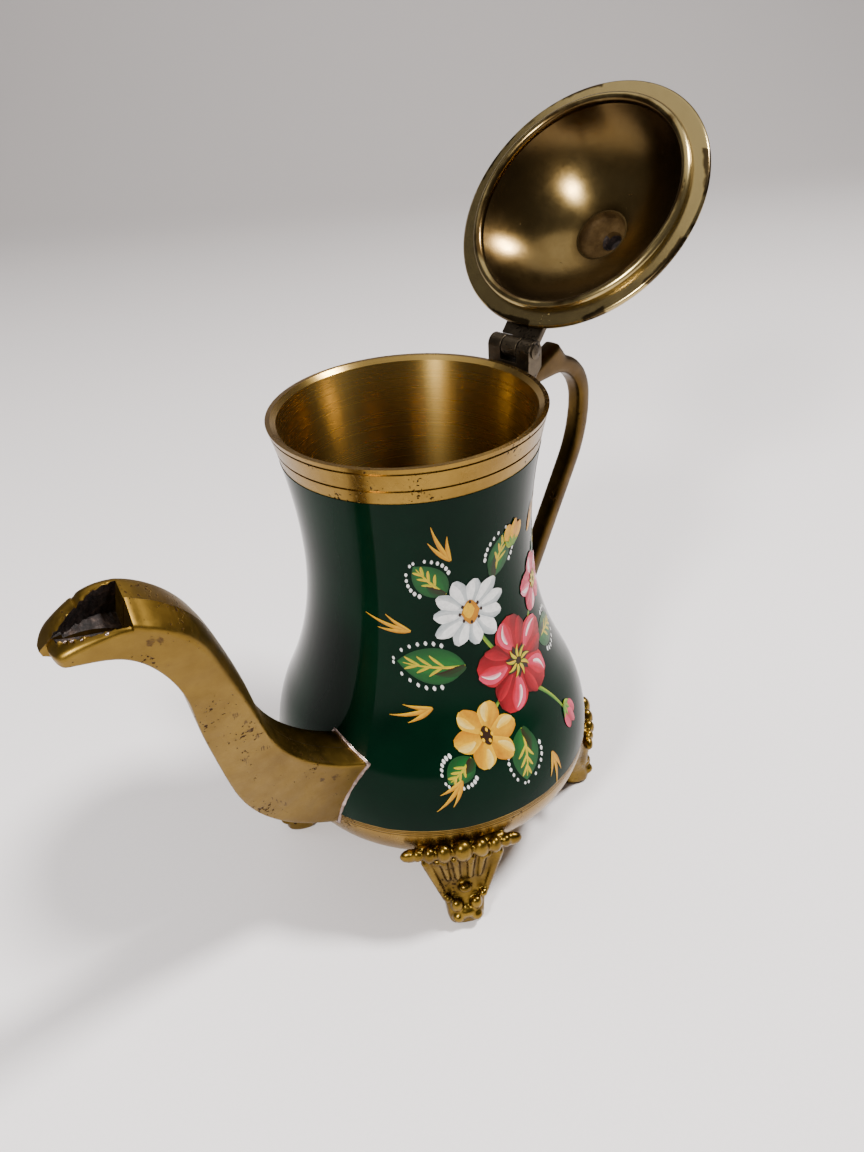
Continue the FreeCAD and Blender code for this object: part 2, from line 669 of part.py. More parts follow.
sub_parts = [body_shell, base_dish, spout_left_half, spout_right_half, handle, *feet,
             hinge_body_leaf, hinge_lid_leaf, hinge_pin, lid_dome, lid_finial]

for thing in doc.Objects:
    if "Invalid" in thing.State or "Error" in thing.State:
        raise RuntimeError(f"{thing.Name} failed: {thing.State}")
for piece in sub_parts:
    if piece.Shape.isNull() or not piece.Shape.isValid() or len(piece.Shape.Solids) != 1:
        raise RuntimeError(f"{piece.Label} is not one sound solid")

os.makedirs("parts", exist_ok=True)
for piece in sub_parts:
    piece.Shape.exportStep(f"parts/{piece.Label}.step")
    print(piece.Label, round(piece.Shape.Volume, 1))
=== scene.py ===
import json
import math

import bmesh
import bpy
from mathutils import Matrix, Vector, noise


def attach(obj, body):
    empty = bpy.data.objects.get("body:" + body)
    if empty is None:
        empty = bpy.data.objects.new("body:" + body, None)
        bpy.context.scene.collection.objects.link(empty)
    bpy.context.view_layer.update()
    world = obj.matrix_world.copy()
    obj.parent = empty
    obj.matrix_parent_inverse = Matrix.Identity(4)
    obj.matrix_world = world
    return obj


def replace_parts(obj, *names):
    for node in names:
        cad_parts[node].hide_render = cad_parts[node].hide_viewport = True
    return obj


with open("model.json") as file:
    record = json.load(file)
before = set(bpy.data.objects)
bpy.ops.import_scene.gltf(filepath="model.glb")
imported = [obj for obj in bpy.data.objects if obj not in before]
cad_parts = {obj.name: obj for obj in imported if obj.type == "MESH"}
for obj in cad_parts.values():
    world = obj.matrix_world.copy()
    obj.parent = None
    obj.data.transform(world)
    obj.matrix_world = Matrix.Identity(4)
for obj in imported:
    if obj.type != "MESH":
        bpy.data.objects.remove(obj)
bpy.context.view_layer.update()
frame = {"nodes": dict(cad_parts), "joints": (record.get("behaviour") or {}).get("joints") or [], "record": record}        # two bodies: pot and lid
nodes = frame["nodes"]
scene = bpy.context.scene
mm = 0.001
print("frame loaded:", len(nodes), "pieces")

# the turned body outline, the same arcs as the shell
potShape = {
    "rimRadius": 31.0 * mm, "rimHeight": 122.2 * mm,
    "waistRadius": 26.85 * mm, "waistHeight": 90.0 * mm,
    "bellyRadius": 41.0 * mm, "bellyHeight": 31.0 * mm,
    "shoulderArc": 43.0 * mm, "keelArc": 16.0 * mm,
}


def potRadius(z):
    s = potShape
    step = s["bellyRadius"] - s["waistRadius"]
    lift = s["waistHeight"] - s["bellyHeight"]
    arcSum = (step ** 2 + lift ** 2) / (2 * step)
    waistArc = arcSum - s["shoulderArc"]
    meet = s["bellyHeight"] + lift * s["shoulderArc"] / arcSum
    if z < s["bellyHeight"]:
        centre = s["bellyRadius"] - s["keelArc"]
        return centre + math.sqrt(max(s["keelArc"] ** 2 - (z - s["bellyHeight"]) ** 2, 0))
    if z < meet:
        centre = s["bellyRadius"] - s["shoulderArc"]
        return centre + math.sqrt(s["shoulderArc"] ** 2 - (z - s["bellyHeight"]) ** 2)
    if z < s["waistHeight"]:
        centre = s["waistRadius"] + waistArc
        return centre - math.sqrt(waistArc ** 2 - (z - s["waistHeight"]) ** 2)
    flare = s["rimRadius"] - s["waistRadius"]
    rise = s["rimHeight"] - s["waistHeight"]
    flareArc = (flare ** 2 + rise ** 2) / (2 * flare)
    return s["waistRadius"] + flareArc - math.sqrt(flareArc ** 2 - (z - s["waistHeight"]) ** 2)


def potPoint(azimuth, z, lift=0.0):
    r = potRadius(z) + lift
    return Vector((r * math.cos(azimuth), r * math.sin(azimuth), z))


# mesh helpers
def finishMesh(name, bm, material, body):
    mesh = bpy.data.meshes.new(name)
    bm.to_mesh(mesh)
    bm.free()
    for poly in mesh.polygons:
        poly.use_smooth = True
    piece = bpy.data.objects.new(name, mesh)
    scene.collection.objects.link(piece)
    mesh.materials.append(material)
    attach(piece, body)
    return piece


def applyModifiers(piece):
    bpy.context.view_layer.update()
    graph = bpy.context.evaluated_depsgraph_get()
    mesh = bpy.data.meshes.new_from_object(piece.evaluated_get(graph))
    piece.modifiers.clear()
    piece.data = mesh


def fuseMesh(bm, voxel):
    mesh = bpy.data.meshes.new("fuse")
    bm.to_mesh(mesh)
    bm.free()
    form = bpy.data.objects.new("fuse", mesh)
    scene.collection.objects.link(form)
    remesh = form.modifiers.new("fuse", "REMESH")
    remesh.mode = "VOXEL"
    remesh.voxel_size = voxel
    applyModifiers(form)
    bm = bmesh.new()
    bm.from_mesh(form.data)
    bpy.data.objects.remove(form)
    return bm


def smoothVerts(bm, verts, rounds):
    for _ in range(rounds):
        bmesh.ops.smooth_vert(bm, verts=verts, factor=0.5, use_axis_x=True, use_axis_y=True, use_axis_z=True)


# material helpers
def startMaterial(name):
    material = bpy.data.materials.new(name)
    material.use_nodes = True
    tree = material.node_tree
    shader = tree.nodes["Principled BSDF"]
    coords = tree.nodes.new("ShaderNodeTexCoord")
    return material, tree, shader, coords.outputs["Object"]


def plug(tree, socket, source):
    if isinstance(source, bpy.types.NodeSocket):
        tree.links.new(source, socket)
    elif socket.type == "RGBA":
        socket.default_value = (*source, 1.0)
    else:
        socket.default_value = source


def dress(tree, node, looks):
    for name, source in looks.items():
        plug(tree, node.inputs[name], source)


def addNode(tree, kind, looks, **settings):
    node = tree.nodes.new("ShaderNode" + kind)
    for name, value in settings.items():
        setattr(node, name, value)
    dress(tree, node, looks)
    return node


def addNoise(tree, vector, scale, detail=4.0, rough=0.55, distortion=0.0):
    looks = {"Vector": vector, "Scale": scale, "Detail": detail, "Roughness": rough, "Distortion": distortion}
    return addNode(tree, "TexNoise", looks).outputs["Fac"]


def addRamp(tree, value, stops):
    node = addNode(tree, "ValToRGB", {"Fac": value})
    ramp = node.color_ramp
    while len(ramp.elements) < len(stops):
        ramp.elements.new(0.5)
    for element, (place, colour) in zip(ramp.elements, stops):
        element.position = place
        element.color = (*colour, 1.0)
    return node.outputs["Color"]


def addMix(tree, fac, a, b):
    return addNode(tree, "Mix", {0: fac, 6: a, 7: b}, data_type="RGBA").outputs[2]     # its colour sockets


def addMath(tree, kind, a, b=0.5):
    return addNode(tree, "Math", {0: a, 1: b}, operation=kind).outputs[0]


def addVector(tree, kind, a, b=(0, 0, 0), output="Vector"):
    return addNode(tree, "VectorMath", {0: a, 1: b}, operation=kind).outputs[output]


def addRange(tree, value, low, high, newLow, newHigh):
    looks = {"Value": value, "From Min": low, "From Max": high, "To Min": newLow, "To Max": newHigh}
    return addNode(tree, "MapRange", looks).outputs["Result"]


def addBump(tree, shader, height, distance, strength=1.0, under=None):
    node = addNode(tree, "Bump", {"Height": height, "Distance": distance, "Strength": strength})
    if under is not None:
        plug(tree, node.inputs["Normal"], under)
    plug(tree, shader.inputs["Normal"], node.outputs["Normal"])
    return node.outputs["Normal"]


def addMapping(tree, vector, location=(0, 0, 0), rotation=(0, 0, 0), scale=(1, 1, 1)):
    looks = {"Vector": vector, "Location": location, "Rotation": rotation, "Scale": scale}
    return addNode(tree, "Mapping", looks).outputs["Vector"]


# brass: faint tarnish clouds, small dark pits, fine scratches, and turning lines where the lathe cut it
brassLooks = {
    "turned": {"bright": (0.25, 0.152, 0.032), "dull": (0.175, 0.10, 0.019), "pit": (0.03, 0.016, 0.006),
               "pits": 0.66, "rough": (0.25, 0.285), "lines": 1300.0, "grain": 0.8,
               # inside: a lighter brass for the faces that look at the axis, painted reflection
               "inside": (0.40, 0.265, 0.077), "insideRough": (0.24, 0.29)},
    "cast": {"bright": (0.188, 0.116, 0.022), "dull": (0.132, 0.077, 0.013), "pit": (0.04, 0.02, 0.007),
             "pits": 0.66, "rough": (0.34, 0.48), "stainAndHollowShade": (0.045, 0.022, 0.007)},
    # the handle: a darker copy of the cast brass, painted shade
    "handle": {"bright": (0.085, 0.05, 0.012), "dull": (0.05, 0.027, 0.006), "pit": (0.03, 0.016, 0.006),
               "pits": 0.70, "rough": (0.3, 0.45)},
    "foot": {"bright": (0.21, 0.13, 0.02), "dull": (0.07, 0.04, 0.008), "pit": (0.02, 0.01, 0.004),
             # on the feet this dark brown fills the hollows: painted shade
             "pits": 0.68, "rough": (0.24, 0.4), "stainAndHollowShade": (0.018, 0.009, 0.003)},
    "lid": {"bright": (0.215, 0.148, 0.055), "dull": (0.165, 0.106, 0.034), "pit": (0.03, 0.018, 0.008),
            "pits": 0.78, "rough": (0.2, 0.26), "lines": 1300.0, "grain": 0.4,
            # patina: brown round the socket, and painted shade up the dome; flange: a lighter brass, painted
            # reflection
            "patinaAndShade": (0.045, 0.025, 0.009), "flange": (0.33, 0.25, 0.105)},
    "hinge": {"bright": (0.10, 0.078, 0.05), "dull": (0.03, 0.023, 0.016), "pit": (0.012, 0.009, 0.006),
              "pits": 0.6, "rough": (0.3, 0.5)},
}
brassScales = {"clouds": 85.0, "grain": 900.0, "specks": 1300.0, "patches": 110.0, "smear": 260.0,
               "spotEdge": 700.0, "chips": 95.0, "hatch": (300.0, 300.0, 2600.0)}
brassDepths = {"grain": 0.02 * mm, "pits": 0.08 * mm, "lines": 0.01 * mm}
scoredLines = {"heights": (31.5 * mm, 31.0 * mm, 30.3 * mm), "width": 0.24 * mm}
lidWearAndPaintedLight = {                                  # radii from the middle of the lid
    "socket": (6.2 * mm, 8.8 * mm), "dome": (13.0 * mm, 24.5 * mm), "flange": (26.2 * mm, 27.2 * mm),
    "brownAndShade": 0.75, "waver": 1.0 * mm, "chips": (30.5 * mm, 30.9 * mm), "chipLevel": 0.52,
}


def addGrain(tree, shader, coords, opened, amount):
    around = addVector(tree, "CROSS_PRODUCT", coords, (0, 0, -1))     # runs round the turning axis
    turn = addNode(tree, "VectorRotate", {"Vector": around, "Angle": opened}, rotation_type="Y_AXIS")
    place = addNode(tree, "VectorTransform", {"Vector": turn.outputs["Vector"]},
                    vector_type="VECTOR", convert_from="OBJECT", convert_to="WORLD")
    tangent = addVector(tree, "NORMALIZE", place.outputs["Vector"])
    dress(tree, shader, {"Tangent": tangent, "Anisotropic": amount, "Anisotropic Rotation": 0.25})


def addPits(tree, coords, level):
    specks = addNoise(tree, coords, brassScales["specks"], 2.0, 0.5)
    patches = addNoise(tree, coords, brassScales["patches"], 2.0, 0.5)
    specks = addMath(tree, "ADD", specks, addRange(tree, patches, 0.4, 0.7, -0.14, 0.1))
    return addRange(tree, specks, level, level + 0.05, 0.0, 1.0)


def addScored(tree, coords, pits):
    height = addNode(tree, "SeparateXYZ", {0: coords})
    for line in scoredLines["heights"]:
        away = addMath(tree, "ABSOLUTE", addMath(tree, "SUBTRACT", height.outputs["Z"], line))
        pits = addMath(tree, "MAXIMUM", pits, addRange(tree, away, 0.0, scoredLines["width"], 1.0, 0.0))
    return pits


def findInside(tree, coords):
    normal = tree.nodes["Texture Coordinate"].outputs["Normal"]
    facing = addVector(tree, "DOT_PRODUCT", addVector(tree, "MULTIPLY", coords, (1, 1, 0)), normal, "Value")
    return addRange(tree, facing, 0.0, -4.0 * mm, 0.0, 1.0)


def addPatinaAndPaintedLight(tree, coords, clouds, colour, look):
    w = lidWearAndPaintedLight
    reach = addVector(tree, "LENGTH", addVector(tree, "MULTIPLY", coords, (1, 1, 0)), output="Value")
    reach = addMath(tree, "ADD", reach, addRange(tree, clouds, 0.3, 0.7, -w["waver"], w["waver"]))
    colour = addMix(tree, addRange(tree, reach, *w["socket"], w["brownAndShade"], 0.0), colour, look["patinaAndShade"])
    # darker towards the edge of the dome: painted shade
    colour = addMix(tree, addRange(tree, reach, *w["dome"], 0.0, w["brownAndShade"]), colour, look["patinaAndShade"])
    # a lighter brass on the flange: painted reflection
    colour = addMix(tree, addRange(tree, reach, *w["flange"], 0.0, 1.0), colour, look["flange"])
    chips = addNoise(tree, coords, brassScales["chips"], 2.0, 0.5)     # dark chips along the flange's edge
    chips = addRange(tree, chips, w["chipLevel"], w["chipLevel"] + 0.03, 0.0, 0.9)
    edge = addRange(tree, reach, *w["chips"], 0.0, 1.0)
    return addMix(tree, addMath(tree, "MULTIPLY", chips, edge), colour, look["pit"])


def addStainsAndHollowShade(tree, coords, colour, look, broken):
    spots = addNode(tree, "Attribute", {}, attribute_name="stainAndHollowShade").outputs["Fac"]
    if broken:                               # spots with broken edges
        edge = addNoise(tree, coords, brassScales["spotEdge"], 3.0, 0.6)
        spots = addMath(tree, "ADD", spots, addRange(tree, edge, 0.3, 0.7, -0.35, 0.35))
        spots = addRange(tree, spots, 0.36, 0.72, 0.0, 0.85)
    colour = addMix(tree, spots, colour, look["stainAndHollowShade"])
    slanted = addMapping(tree, coords, rotation=(0.4, 0.5, 0.3), scale=brassScales["hatch"])
    hatch = addNoise(tree, slanted, 1.0, 3.0, 0.7)
    return addMix(tree, addRange(tree, hatch, 0.52, 0.72, 0.0, 0.35), colour, look["dull"])


def makeBrass(kind, place=None, opened=0.0):
    look = brassLooks[kind]
    material, tree, shader, coords = startMaterial(kind + "Brass")
    if place is not None:
        coords = addMapping(tree, coords, **place)
    clouds = addNoise(tree, coords, brassScales["clouds"], 5.0, 0.6)
    colour = addRamp(tree, clouds, [(0.34, look["dull"]), (0.62, look["bright"])])
    grain = addNoise(tree, coords, brassScales["grain"], 3.0, 0.6)
    colour = addMix(tree, addRange(tree, grain, 0.35, 0.7, 0.0, 0.3), colour, look["dull"])
    smear = addNoise(tree, coords, brassScales["smear"], 4.0, 0.65, 0.4)
    rough = addRange(tree, smear, 0.3, 0.7, *look["rough"])
    pits = addPits(tree, coords, look["pits"])
    if "lines" in look:
        streaks = addNoise(tree, addMapping(tree, coords, scale=(5.0, 5.0, look["lines"])), 1.0, 3.0, 0.7)
    if "inside" in look:                     # the faces that look at the axis get a lighter brass, a painted reflection that brightens the inside
        inside = findInside(tree, coords)
        insideLineTone = addRange(tree, streaks, 0.4, 0.65, 0.0, 0.45)
        colour = addMix(tree, inside, colour, addMix(tree, insideLineTone, look["inside"], look["bright"]))
        pits = addScored(tree, coords, pits)     # lines scored round the bowl under the paint
        pits = addMath(tree, "MAXIMUM", addMath(tree, "SUBTRACT", pits, inside), 0.0)
    colour = addMix(tree, pits, colour, look["pit"])
    rough = addMath(tree, "ADD", rough, addMath(tree, "MULTIPLY", pits, 0.25))
    if "inside" in look:
        change = addMath(tree, "SUBTRACT", addRange(tree, streaks, 0.3, 0.7, *look["insideRough"]), rough)
        rough = addMath(tree, "ADD", addMath(tree, "MULTIPLY", inside, change), rough)
    if "patinaAndShade" in look:                     # brown patina round the socket, darker towards the edge of the dome as painted shade, and a lighter flange outside as a painted reflection
        colour = addPatinaAndPaintedLight(tree, coords, clouds, colour, look)
    if "stainAndHollowShade" in look:                      # casting spots on the spout, and painted shade in the hollows of the feet, kept on the mesh
        colour = addStainsAndHollowShade(tree, coords, colour, look, kind == "cast")
    dress(tree, shader, {"Base Color": colour, "Roughness": rough, "Metallic": 1.0})
    under = addBump(tree, shader, grain, brassDepths["grain"], 0.4)
    under = addBump(tree, shader, addMath(tree, "SUBTRACT", 1.0, pits), brassDepths["pits"], 0.8, under)
    if "lines" in look:                      # fine turning marks round the axis
        addBump(tree, shader, streaks, brassDepths["lines"], 0.6, under)
        addGrain(tree, shader, coords, opened, look["grain"])
    return material


lidJoint = next(joint for joint in frame["joints"] if joint["name"] == "lid_hinge")
lidOpen = math.radians(-lidJoint["range_deg"][0])
lidHinge = Vector((37.0, 0.0, 123.9)) * mm
lidTurn = Matrix.Rotation(-lidOpen, 3, "Y")
turnedBrass = makeBrass("turned")
castBrass = makeBrass("cast")
# a darker copy of the cast brass for the handle: painted shade
shadedHandleBrass = makeBrass("handle")
footBrass = makeBrass("foot")
hingeBrass = makeBrass("hinge")
lidClosed = {"rotation": (0, -lidOpen, 0), "location": lidHinge - lidTurn @ lidHinge}
lidBrass = makeBrass("lid", lidClosed, lidOpen)
materialFor = {
    "turned_brass": turnedBrass, "cast_brass": castBrass, "foot_brass": footBrass,
    "lid_brass": lidBrass, "hinge_metal": hingeBrass,
}
for part in frame["record"]["subparts"]:
    node = nodes[part["node"]]
    node.data.materials.clear()
    node.data.materials.append(materialFor[part["material_slot"]])
print("brass done")

# spout: two cast halves side by side, half 1 near and -1 far, out and up in mm
# a stretch of its top or underside has a start, an end, a radius and a bend
# share counts from 0 at the back wall of the mouth to 1 at the tip, and below 0 behind the mouth
spoutPlace = {"turn": 187.9, "heading": 163.0, "lean": -15.0, "rootOut": 38.0, "rootHeight": 42.0}
spoutForm = {
    "top": [((28.0, 48.1), (57.0, 84.9), 44.7, 1), ((57.0, 84.9), (63.0, 105.0), 0, 1),
            ((63.0, 105.0), (75.6, 122.6), 23.5, -1)],
    "low": [((28.0, 24.6), (64.3, 63.0), 47.9, 1), ((64.3, 63.0), (69.0, 90.0), 0, 1),
            ((69.0, 90.0), (76.8, 115.0), 36.8, -1)],
    "beakTop": {1: [(80.0, 121.8), (84.0, 121.2), (87.0, 120.0), (88.4, 118.8)],
                -1: [(80.3, 123.4), (83.7, 121.9), (87.2, 119.7), (89.6, 117.6)]},
    "beakLow": {1: [(81.0, 116.4), (85.0, 116.9), (87.2, 117.1), (88.2, 117.3)],
                -1: [(81.5, 115.6), (85.5, 115.4), (88.0, 115.5), (89.3, 116.3)]},
    "counts": (60, 26, 40, 44), "smoothing": 60,
    "sideSteps": 24, "cornerTurns": (0, 0.4, 0.8, 1.2, math.pi / 2),
    "half": 5.5, "tipHalf": 4.4, "edge": {1: 0.7, -1: 1.0}, "uneven": 0.07, "sharp": math.radians(38),
    "tipStart": 0.7, "tipShut": 0.93, "tipKeep": 0.35, "rootSink": 0.25, "rootLoops": 30,
    "crown": 2.4, "crownAt": -1.1, "crownReach": 0.6, "tilt": 1.5, "tiltReach": 0.8, "tiltFall": 0.6,
    "lip": {1: 0.45, -1: 0.0}, "lipReach": 0.06, "nick": 0.6, "nickAt": 0.4, "nickReach": 0.025,
    "mouthEnd": 0.78, "mouthDepth": 5.6, "mouthLeast": 0.4, "wallShare": 0.001, "seam": 0.03,
    "rim": {1: 0.6, -1: 1.2}, "mouthTip": {1: 1.2, -1: 0.05}, "mouthTaper": {1: 1.6, -1: 1.0},
    "ragged": 0.34, "raggedSeed": 4, "raggedPoints": 8, "holeShadePoints": 6,
    "stains": [(61.6, 89.1, 0.8), (59.9, 85.0, 0.6), (58.8, 82.5, 0.9), (57.9, 79.1, 0.8), (57.1, 74.4, 0.5),
               (55.7, 73.4, 0.6), (64.2, 84.4, 0.5), (60.8, 72.4, 0.6), (44.2, 52.2, 0.7), (40.8, 50.8, 1.1),
               (56.0, 53.8, 0.5), (55.2, 52.2, 0.5), (54.4, 50.6, 0.5), (53.5, 49.0, 0.5), (73.3, 117.6, 0.9),
               (72.0, 117.3, 0.6)],
    "stainsFrom": 4.0,
}


def spoutMatrix():
    p = spoutPlace
    turn = math.radians(p["turn"])
    root = Vector((p["rootOut"] * math.cos(turn), p["rootOut"] * math.sin(turn), p["rootHeight"])) * mm
    heading = Matrix.Rotation(math.radians(p["heading"]), 4, "Z")
    lean = Matrix.Rotation(math.radians(p["lean"]), 4, "X")
    back = Matrix.Translation(Vector((-p["rootOut"], 0, -p["rootHeight"])) * mm)
    return Matrix.Translation(root) @ heading @ lean @ back


toWorld = spoutMatrix()


def arcLine(start, end, radius, bend, count):
    start, end = Vector(start), Vector(end)
    if not radius:
        return [start.lerp(end, i / count) for i in range(count)]
    chord = end - start
    side = Vector((-chord.y, chord.x)).normalized() * bend
    centre = (start + end) / 2 + side * math.sqrt(radius ** 2 - (chord.length / 2) ** 2)
    first = math.atan2(start.y - centre.y, start.x - centre.x)
    last = math.atan2(end.y - centre.y, end.x - centre.x)
    sweep = (last - first + math.pi) % math.tau - math.pi
    angles = [first + sweep * i / count for i in range(count)]
    return [centre + radius * Vector((math.cos(angle), math.sin(angle))) for angle in angles]


def spoutLine(segments, beak):
    f = spoutForm
    line = []
    for (start, end, radius, bend), count in zip(segments, f["counts"]):
        line += arcLine(start, end, radius, bend, count)
    corners = [segments[-1][1]] + beak
    each = f["counts"][3] // len(beak)
    for start, end in zip(corners, corners[1:]):
        line += arcLine(start, end, 0, 1, each)
    line.append(Vector(corners[-1]))
    for _ in range(f["smoothing"]):
        inner = [(a + 2 * b + c) / 4 for a, b, c in zip(line, line[1:], line[2:])]
        line = [line[0]] + inner + [line[-1]]
    return line


def mouthOpen(share):
    return 0 < share < spoutForm["mouthEnd"]


def spoutSection(depth, wide, corner, share, half):
    f = spoutForm
    turns, sides = f["cornerTurns"], f["sideSteps"]
    lowRound = min(f["edge"][half], depth * 0.3, wide * 0.6)
    pit = inner = f["seam"]
    if mouthOpen(share):
        run = share / f["mouthEnd"]
        rim = wide - f["rim"][half]
        pit = max(f["mouthDepth"] * (1 - run) ** 0.8, f["mouthLeast"])
        inner = max(rim - (rim - f["mouthTip"][half]) * run ** f["mouthTaper"][half], 0.05)
    edgeOut, edgeLow = wide - corner, wide - lowRound
    edgeIn = min(inner, edgeOut - 0.02)
    loop = [(0.0, 0.0), (edgeLow * 0.5, 0.0)]
    loop += [(edgeLow + lowRound * math.sin(a), lowRound * (1 - math.cos(a))) for a in turns]
    loop += [(wide, lowRound + (depth - lowRound - corner) * i / sides) for i in range(1, sides)]
    loop += [(edgeOut + corner * math.cos(a), depth - corner + corner * math.sin(a)) for a in turns]
    loop += [(edgeOut + (edgeIn - edgeOut) * i / 6, depth) for i in range(1, 7)]
    loop += [(edgeIn, depth - pit * i / 3) for i in (1, 2, 3)]
    loop += [(edgeIn * (1 - i / 3), depth - pit) for i in (1, 2, 3)]
    return loop


def topLift(across, wide, share, half):
    f = spoutForm
    bell = math.exp(-((share - f["crownAt"]) / f["crownReach"]) ** 2)
    lift = f["crown"] * bell * max(1 - (across / wide) ** 2, 0)
    tilt = math.exp(-(share / f["tiltReach"]) ** 2) if share < 0 else 1 - f["tiltFall"] * share
    lift += f["tilt"] * tilt * (1 if half < 0 else max(1 - across / wide, 0) * (share <= 0))
    lift += f["lip"][half] * math.exp(-(share / f["lipReach"]) ** 2) * (share <= 0)
    if half < 0:                               # a nick in the far rim
        lift -= f["nick"] * math.exp(-((share - f["nickAt"]) / f["nickReach"]) ** 2)
    return lift


def spoutLoop(top, low, share, half):
    f = spoutForm
    beak = max(share, 0.0)
    wide = f["half"] + (f["tipHalf"] - f["half"]) * beak
    if beak > f["tipStart"]:                   # the beak rounds off towards its tip
        shut = math.sqrt(1 - (f["tipShut"] * (beak - f["tipStart"]) / (1 - f["tipStart"])) ** 2)
        keep = f["tipKeep"] + (1 - f["tipKeep"]) * shut
        middle = (top + low) / 2
        wide *= shut
        top, low = middle + (top - middle) * keep, middle + (low - middle) * keep
    depth = (top - low).length
    up = (top - low).normalized()
    corner = min(f["edge"][half] * (1 + beak), depth * 0.4, wide * 0.6)
    section = spoutSection(depth, wide, corner, share, half)
    result = []
    for spot, (across, rise) in enumerate(section):
        lift = topLift(across, wide, share, half) if rise > depth - corner - 0.01 else 0.0
        flat = low + up * (rise + lift)
        point = Vector((flat.x, half * across, flat.y))
        if mouthOpen(share) and spot >= len(section) - f["raggedPoints"]:
            jag = noise.noise_vector(point * 1.3) + 0.6 * noise.noise_vector(point * 3.1)
            point += f["ragged"] * Vector((0, jag.y, jag.z)) * (1 if across > 0.1 else 0)
        elif across > wide - 0.01:
            point.y += half * f["uneven"] * noise.noise(point * 0.22)
        result.append(point)
    return result


def stainAt(point, half):
    if half < 0 or point.y < spoutForm["stainsFrom"]:
        return 0.0
    level = 0.0
    for out, up, size in spoutForm["stains"]:
        away = math.hypot(point.x - out, (point.z - up) * 0.8) / size + 0.5 * noise.noise(point * 1.4)
        level = max(level, min(max(1.4 - away, 0.0), 0.8))
    return level


def seatRoot(spot):
    flat, reach = math.hypot(spot.x, spot.y), potRadius(spot.z) - spoutForm["rootSink"] * mm
    if flat < reach:                           # the root ends in the wall of the pot
        spot.x *= reach / flat
        spot.y *= reach / flat
    return flat >= reach


def makeSpoutHalf(nodeName, pieceName, half):
    f = spoutForm
    top = spoutLine(f["top"], f["beakTop"][half])
    low = spoutLine(f["low"], f["beakLow"][half])
    mouth = sum(f["counts"][:3])
    bm = bmesh.new()
    stainAndHollowShade = bm.verts.layers.float.new("stainAndHollowShade")
    loops = []
    backWall = None
    for i in range(len(top)):
        shares = [(i - mouth) / f["counts"][3]]
        if i == mouth:                         # the back wall of the mouth
            shares.append(f["wallShare"])
        for share in shares:
            points = spoutLoop(top[i], low[i], share, half)
            spots = [toWorld @ (point * mm) for point in points]
            outside = [seatRoot(spot) for spot in spots]
            if not any(outside) and i <= f["rootLoops"]:
                continue
            verts = [bm.verts.new(spot) for spot in spots]
            for vert, point in zip(verts, points):
                vert[stainAndHollowShade] = stainAt(point, half)
            loops.append(verts)
            if share == 0.0:
                backWall = verts
    count = len(loops[0])
    for here, after in zip(loops, loops[1:]):
        for j in range(count):
            face = bm.faces.new((here[j - 1], here[j], after[j], after[j - 1]))
            # the last points of each loop line the mouth's shallow pocket, which takes the near-black painted
            # shade of the spout's opening
            if j >= count - f["holeShadePoints"] and here is not backWall:
                face.material_index = 1
    bm.faces.new(loops[0])
    bm.faces.new(loops[-1])
    bmesh.ops.recalc_face_normals(bm, faces=bm.faces[:])
    piece = finishMesh(pieceName, bm, castBrass, "pot")
    piece.data.materials.append(holeShade)
    piece.data.set_sharp_from_angle(angle=f["sharp"])
    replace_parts(piece, nodeName)


def makeCrustAndShade(name, tones, scale, gloss):
    material, tree, shader, coords = startMaterial(name)
    crust = addNoise(tree, coords, scale, 5.0, 0.65)
    colour = addRamp(tree, crust, list(zip((0.35, 0.55, 0.75), tones)))
    rough = addRange(tree, crust, 0.3, 0.7, 0.8, 0.5)
    dress(tree, shader, {"Base Color": colour, "Roughness": rough, "Metallic": 0.3})
    shader.inputs["Specular IOR Level"].default_value = gloss
    addBump(tree, shader, crust, 0.4 * mm, 0.9)
    return material


crustAndShadeTones = {
    "mouth": ((0.003, 0.0015, 0.001), (0.018, 0.010, 0.008), (0.09, 0.06, 0.045)),
    "socket": ((0.040, 0.022, 0.007), (0.062, 0.036, 0.012), (0.090, 0.055, 0.021)),
}
# near-black, with a rough bump: painted shade in the spout's mouth and in the socket's hole
holeShade = makeCrustAndShade("mouthHoleShade", crustAndShadeTones["mouth"], 800.0, 0.5)
noise.seed_set(spoutForm["raggedSeed"])     # the same ragged rim at every run
makeSpoutHalf("spout_left_half", "spoutNearHalf", 1)
makeSpoutHalf("spout_right_half", "spoutFarHalf", -1)
print("spout done")

# handle and hinge leaves: the CAD shapes with their edges filed round
castSet = {
    "handleVoxel": 0.4 * mm, "handleSmoothing": 18, "handleSwell": 0.2 * mm, "handleClear": 0.6 * mm,
    "hingeWidth": 0.28 * mm, "hingeSegments": 2,
    "hingeSharp": math.radians(30), "hingeCrease": math.radians(50),
}


def copyNode(name):
    bm = bmesh.new()
    bm.from_mesh(nodes[name].data)
    bmesh.ops.remove_doubles(bm, verts=bm.verts[:], dist=2e-6)
    bmesh.ops.dissolve_limit(bm, angle_limit=math.radians(0.5), verts=bm.verts[:], edges=bm.edges[:])
    return bm


def makeHandle():
    c = castSet
    bm = fuseMesh(copyNode("handle"), c["handleVoxel"])
    loose = []
    for vert in bm.verts:                      # all but the ends that sit on the body
        if math.hypot(vert.co.x, vert.co.y) > potRadius(vert.co.z) + c["handleClear"]:
            loose.append(vert)
    smoothVerts(bm, loose, c["handleSmoothing"])
    bm.normal_update()
    for vert in loose:
        vert.co += vert.normal * c["handleSwell"]     # what the smoothing took off the bar
    bmesh.ops.recalc_face_normals(bm, faces=bm.faces[:])
    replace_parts(finishMesh("handleBar", bm, shadedHandleBrass, "pot"), "handle")


